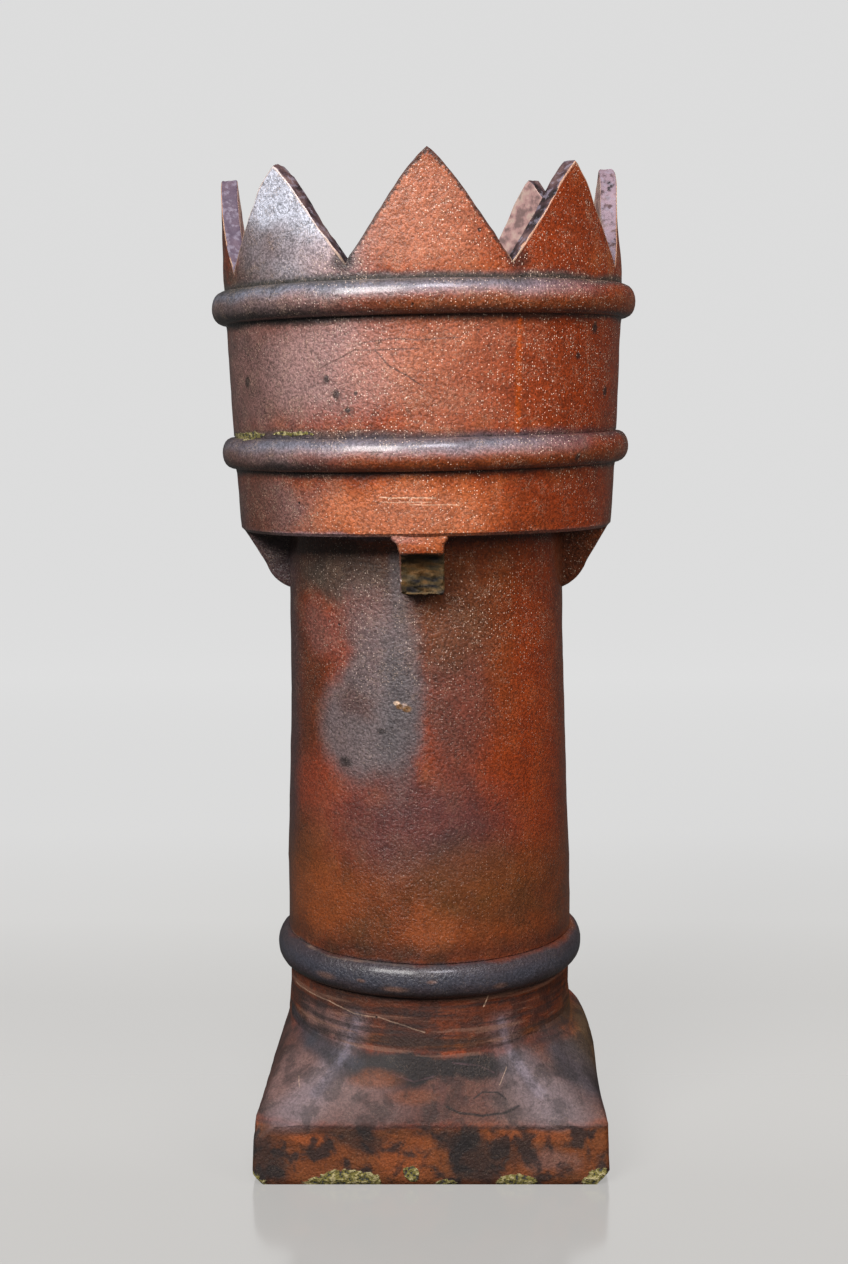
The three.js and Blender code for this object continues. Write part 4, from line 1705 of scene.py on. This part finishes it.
@dataclass
class Studio:
    """A pale floor that sweeps up all round, soft lights, and a camera where the photograph was taken."""

    eye: tuple[float, float, float] = (-0.0065, -1.729, 0.714)
    pitch_down: float = math.radians(7.5)
    focal_pixels: float = 1809.0
    sensor: float = 36.0
    sides: int = 96
    bend_rows: int = 24
    bend_lead: float = 0.05
    weld: float = 1e-4
    rise: float = 6.0
    back: float = 3.2
    bend: float = 1.6
    glow_stops: tuple[tuple[float, Colour], ...] = (
        (0.13, (0.362, 0.354, 0.340)), (0.28, (0.470, 0.464, 0.452)), (0.375, (0.580, 0.577, 0.568)),
        (0.52, (0.645, 0.645, 0.643)), (1.0, (0.716, 0.716, 0.716)))
    floor_tone: Colour = (0.10, 0.10, 0.10)
    side_start: float = 0.9
    front_start: float = 1.5
    glow_start: float = 0.6
    glow_span: float = 3.4
    fade: tuple[float, float] = (-0.6, 2.6)
    near_roughness: float = 0.14
    surroundings: Colour = (1.0, 0.96, 0.92)
    surroundings_strength: float = 0.06

    def camera(self) -> None:
        """Places the camera and makes it the one that the scene is seen through."""
        deselect_all()
        bpy.ops.object.camera_add(location=self.eye, rotation=(math.pi / 2 - self.pitch_down, 0, 0))
        camera = bpy.context.object
        camera.name = "camera"
        camera.data.sensor_width = self.sensor
        camera.data.lens = self.sensor * self.focal_pixels / IMAGE_LONG_SIDE
        bpy.context.scene.camera = camera

    def sweep(self) -> bpy.types.Object:
        """Makes the floor and a backdrop that curves up all round as one sheet.

        Returns:
            The sheet.
        """
        turns = [math.pi / 2 * i / self.bend_rows for i in range(self.bend_rows + 1)]
        arc = [(self.back + self.bend * math.sin(t), self.bend * (1 - math.cos(t))) for t in turns]
        path = [(0.0, 0.0), (self.back - self.bend_lead, 0.0), *arc, (self.back + self.bend, self.rise)]
        deselect_all()
        bpy.ops.mesh.primitive_grid_add(x_subdivisions=self.sides, y_subdivisions=len(path) - 1, size=2)
        sheet = bpy.context.object
        sheet.name = "floor"
        points = places(sheet)
        in_rows = np.lexsort((points[:, 0].round(4), points[:, 1].round(4)))
        for rank, index in enumerate(in_rows):
            row, column = divmod(rank, self.sides + 1)
            turn = math.tau * column / self.sides
            reach, height = path[row]
            points[index] = (reach * math.sin(turn), -reach * math.cos(turn), height)
        put(sheet, points)
        take(sheet)
        bpy.ops.object.mode_set(mode="EDIT")
        bpy.ops.mesh.select_all(action="SELECT")
        bpy.ops.mesh.remove_doubles(threshold=self.weld)
        bpy.ops.mesh.normals_make_consistent(inside=True)
        bpy.ops.object.mode_set(mode="OBJECT")
        bpy.ops.object.shade_smooth()
        sheet.data.materials.append(self.floor_finish())
        sheet.visible_glossy = False
        sheet.visible_diffuse = False
        return sheet

    def floor_finish(self) -> bpy.types.Material:
        """Makes the sheet's material, which glows more and shines less the further away it is.

        Returns:
            The material.
        """
        recipe = Recipe("pale_floor")
        parts = recipe.add("ShaderNodeSeparateXYZ", {}, {0: recipe.place})
        across, along = Signal(recipe, parts.outputs[0]), Signal(recipe, parts.outputs[1])
        distance = along.most(across.size() - self.side_start).most(along * -1.0 - self.front_start)
        away = distance.between(*self.fade)
        glow = recipe.ramp((distance + self.glow_start) * (1 / self.glow_span), self.glow_stops)
        recipe.tree.links.new(glow.socket, recipe.shader.inputs["Emission Color"])
        recipe.shader.inputs["Emission Strength"].default_value = 1.0
        tone = recipe.mix(self.floor_tone, (0.0, 0.0, 0.0), away)
        roughness = away.between(0.0, 0.5) * (1.0 - self.near_roughness) + self.near_roughness
        return recipe.dress(tone, roughness)

    def light(self, name: str, place: tuple[float, float, float], aim: tuple[float, float, float],
              size: float, power: float, colour: Colour = (1.0, 1.0, 1.0)) -> bpy.types.Object:
        """Hangs one soft square light.

        Args:
            name: Its name.
            place: Where it hangs.
            aim: What it points at.
            size: Length of its side.
            power: Its power in watts.
            colour: Its colour.

        Returns:
            The light.
        """
        deselect_all()
        turn = (Vector(aim) - Vector(place)).to_track_quat("-Z", "Y").to_euler()
        bpy.ops.object.light_add(type="AREA", location=place, rotation=turn)
        lamp = bpy.context.object
        lamp.name = name
        lamp.data.size = size
        lamp.data.energy = power
        lamp.data.color = colour
        return lamp

    @staticmethod
    def only_on(lamp: bpy.types.Object, piece: bpy.types.Object) -> None:
        """Lets a light fall on one piece alone."""
        lamp.light_linking.receiver_collection = bpy.data.collections.new(f"lit_by_{lamp.name}")
        lamp.light_linking.receiver_collection.objects.link(piece)

    def lights(self, sheet: bpy.types.Object, pot: bpy.types.Object) -> None:
        """Hangs the lights and sets the surroundings.

        Args:
            sheet: The floor, which alone is lit by the card behind.
            pot: The pot, which alone is lit by the light that keeps its back from going dark.
        """
        self.light("key", (-1.25, -2.1, 2.25), (0.0, 0.0, 0.72), 1.4, 106.0, (1.0, 0.975, 0.95))
        fill = self.light("fill", (2.0, -1.5, 1.7), (0.0, 0.0, 0.66), 1.5, 38.0, (1.0, 0.92, 0.82))
        fill.visible_glossy = False
        self.light("sky", (0.25, -2.0, 2.9), (0.0, 0.0, 0.7), 0.9, 44.0, (0.93, 0.91, 1.0))
        card = self.light("card", (0.0, 2.6, 1.9), (0.0, -0.4, 0.0), 5.0, 38.0)
        card.data.shape = "RECTANGLE"
        card.data.size_y = 2.4
        card.visible_camera = False
        self.only_on(card, sheet)
        behind = self.light("behind", (0.6, 2.6, 1.5), (0.0, 0.0, 0.45), 1.8, 60.0, (1.0, 0.97, 0.94))
        behind.visible_glossy = False
        behind.visible_camera = False
        self.only_on(behind, pot)
        world = bpy.data.worlds.new("surroundings")
        world.use_nodes = True
        surroundings = world.node_tree.nodes["Background"]
        surroundings.inputs["Color"].default_value = (*self.surroundings, 1.0)
        surroundings.inputs["Strength"].default_value = self.surroundings_strength
        bpy.context.scene.world = world
        bpy.context.scene.view_settings.view_transform = "Standard"


def dress_pot(pot: bpy.types.Object, shape: ChimneyPot) -> None:
    """Gives the pot its finishes, in the order of the Face names, and each face its own again.

    Args:
        pot: The finished mesh.
        shape: The pot's sizes.
    """
    tones = Palette()
    marks = collar_marks(tones) + shaft_marks(tones) + foot_marks(tones)
    glaze = SaltGlaze(tones, marks, lichen_spots(tones), shape.collar_tilt, shape.tilted_heights).build()
    finishes = {
        Face.GLAZE: glaze,
        Face.CUT: CutClay(tones).build(),
        Face.BROKEN: BrokenClay(tones).build(),
        Face.INSIDE: SootedClay(tones, shape.collar.upper_bead[1]).build(),
    }
    sorted_faces = [polygon.material_index for polygon in pot.data.polygons]
    pot.data.materials.clear()
    for face in Face:
        pot.data.materials.append(finishes[face])
    pot.data.polygons.foreach_set("material_index", sorted_faces)


def main() -> None:
    """Builds the pot and the studio round it."""
    logging.basicConfig(level=logging.INFO, format="%(name)s: %(message)s")
    shape = ChimneyPot()
    pot = shape.build()
    dress_pot(pot, shape)
    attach(pot, "root")
    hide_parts(NODE)
    LOG.info("pot: %d faces", len(pot.data.polygons))
    studio = Studio()
    studio.lights(studio.sweep(), pot)
    studio.camera()


if __name__ == "__main__":
    main()
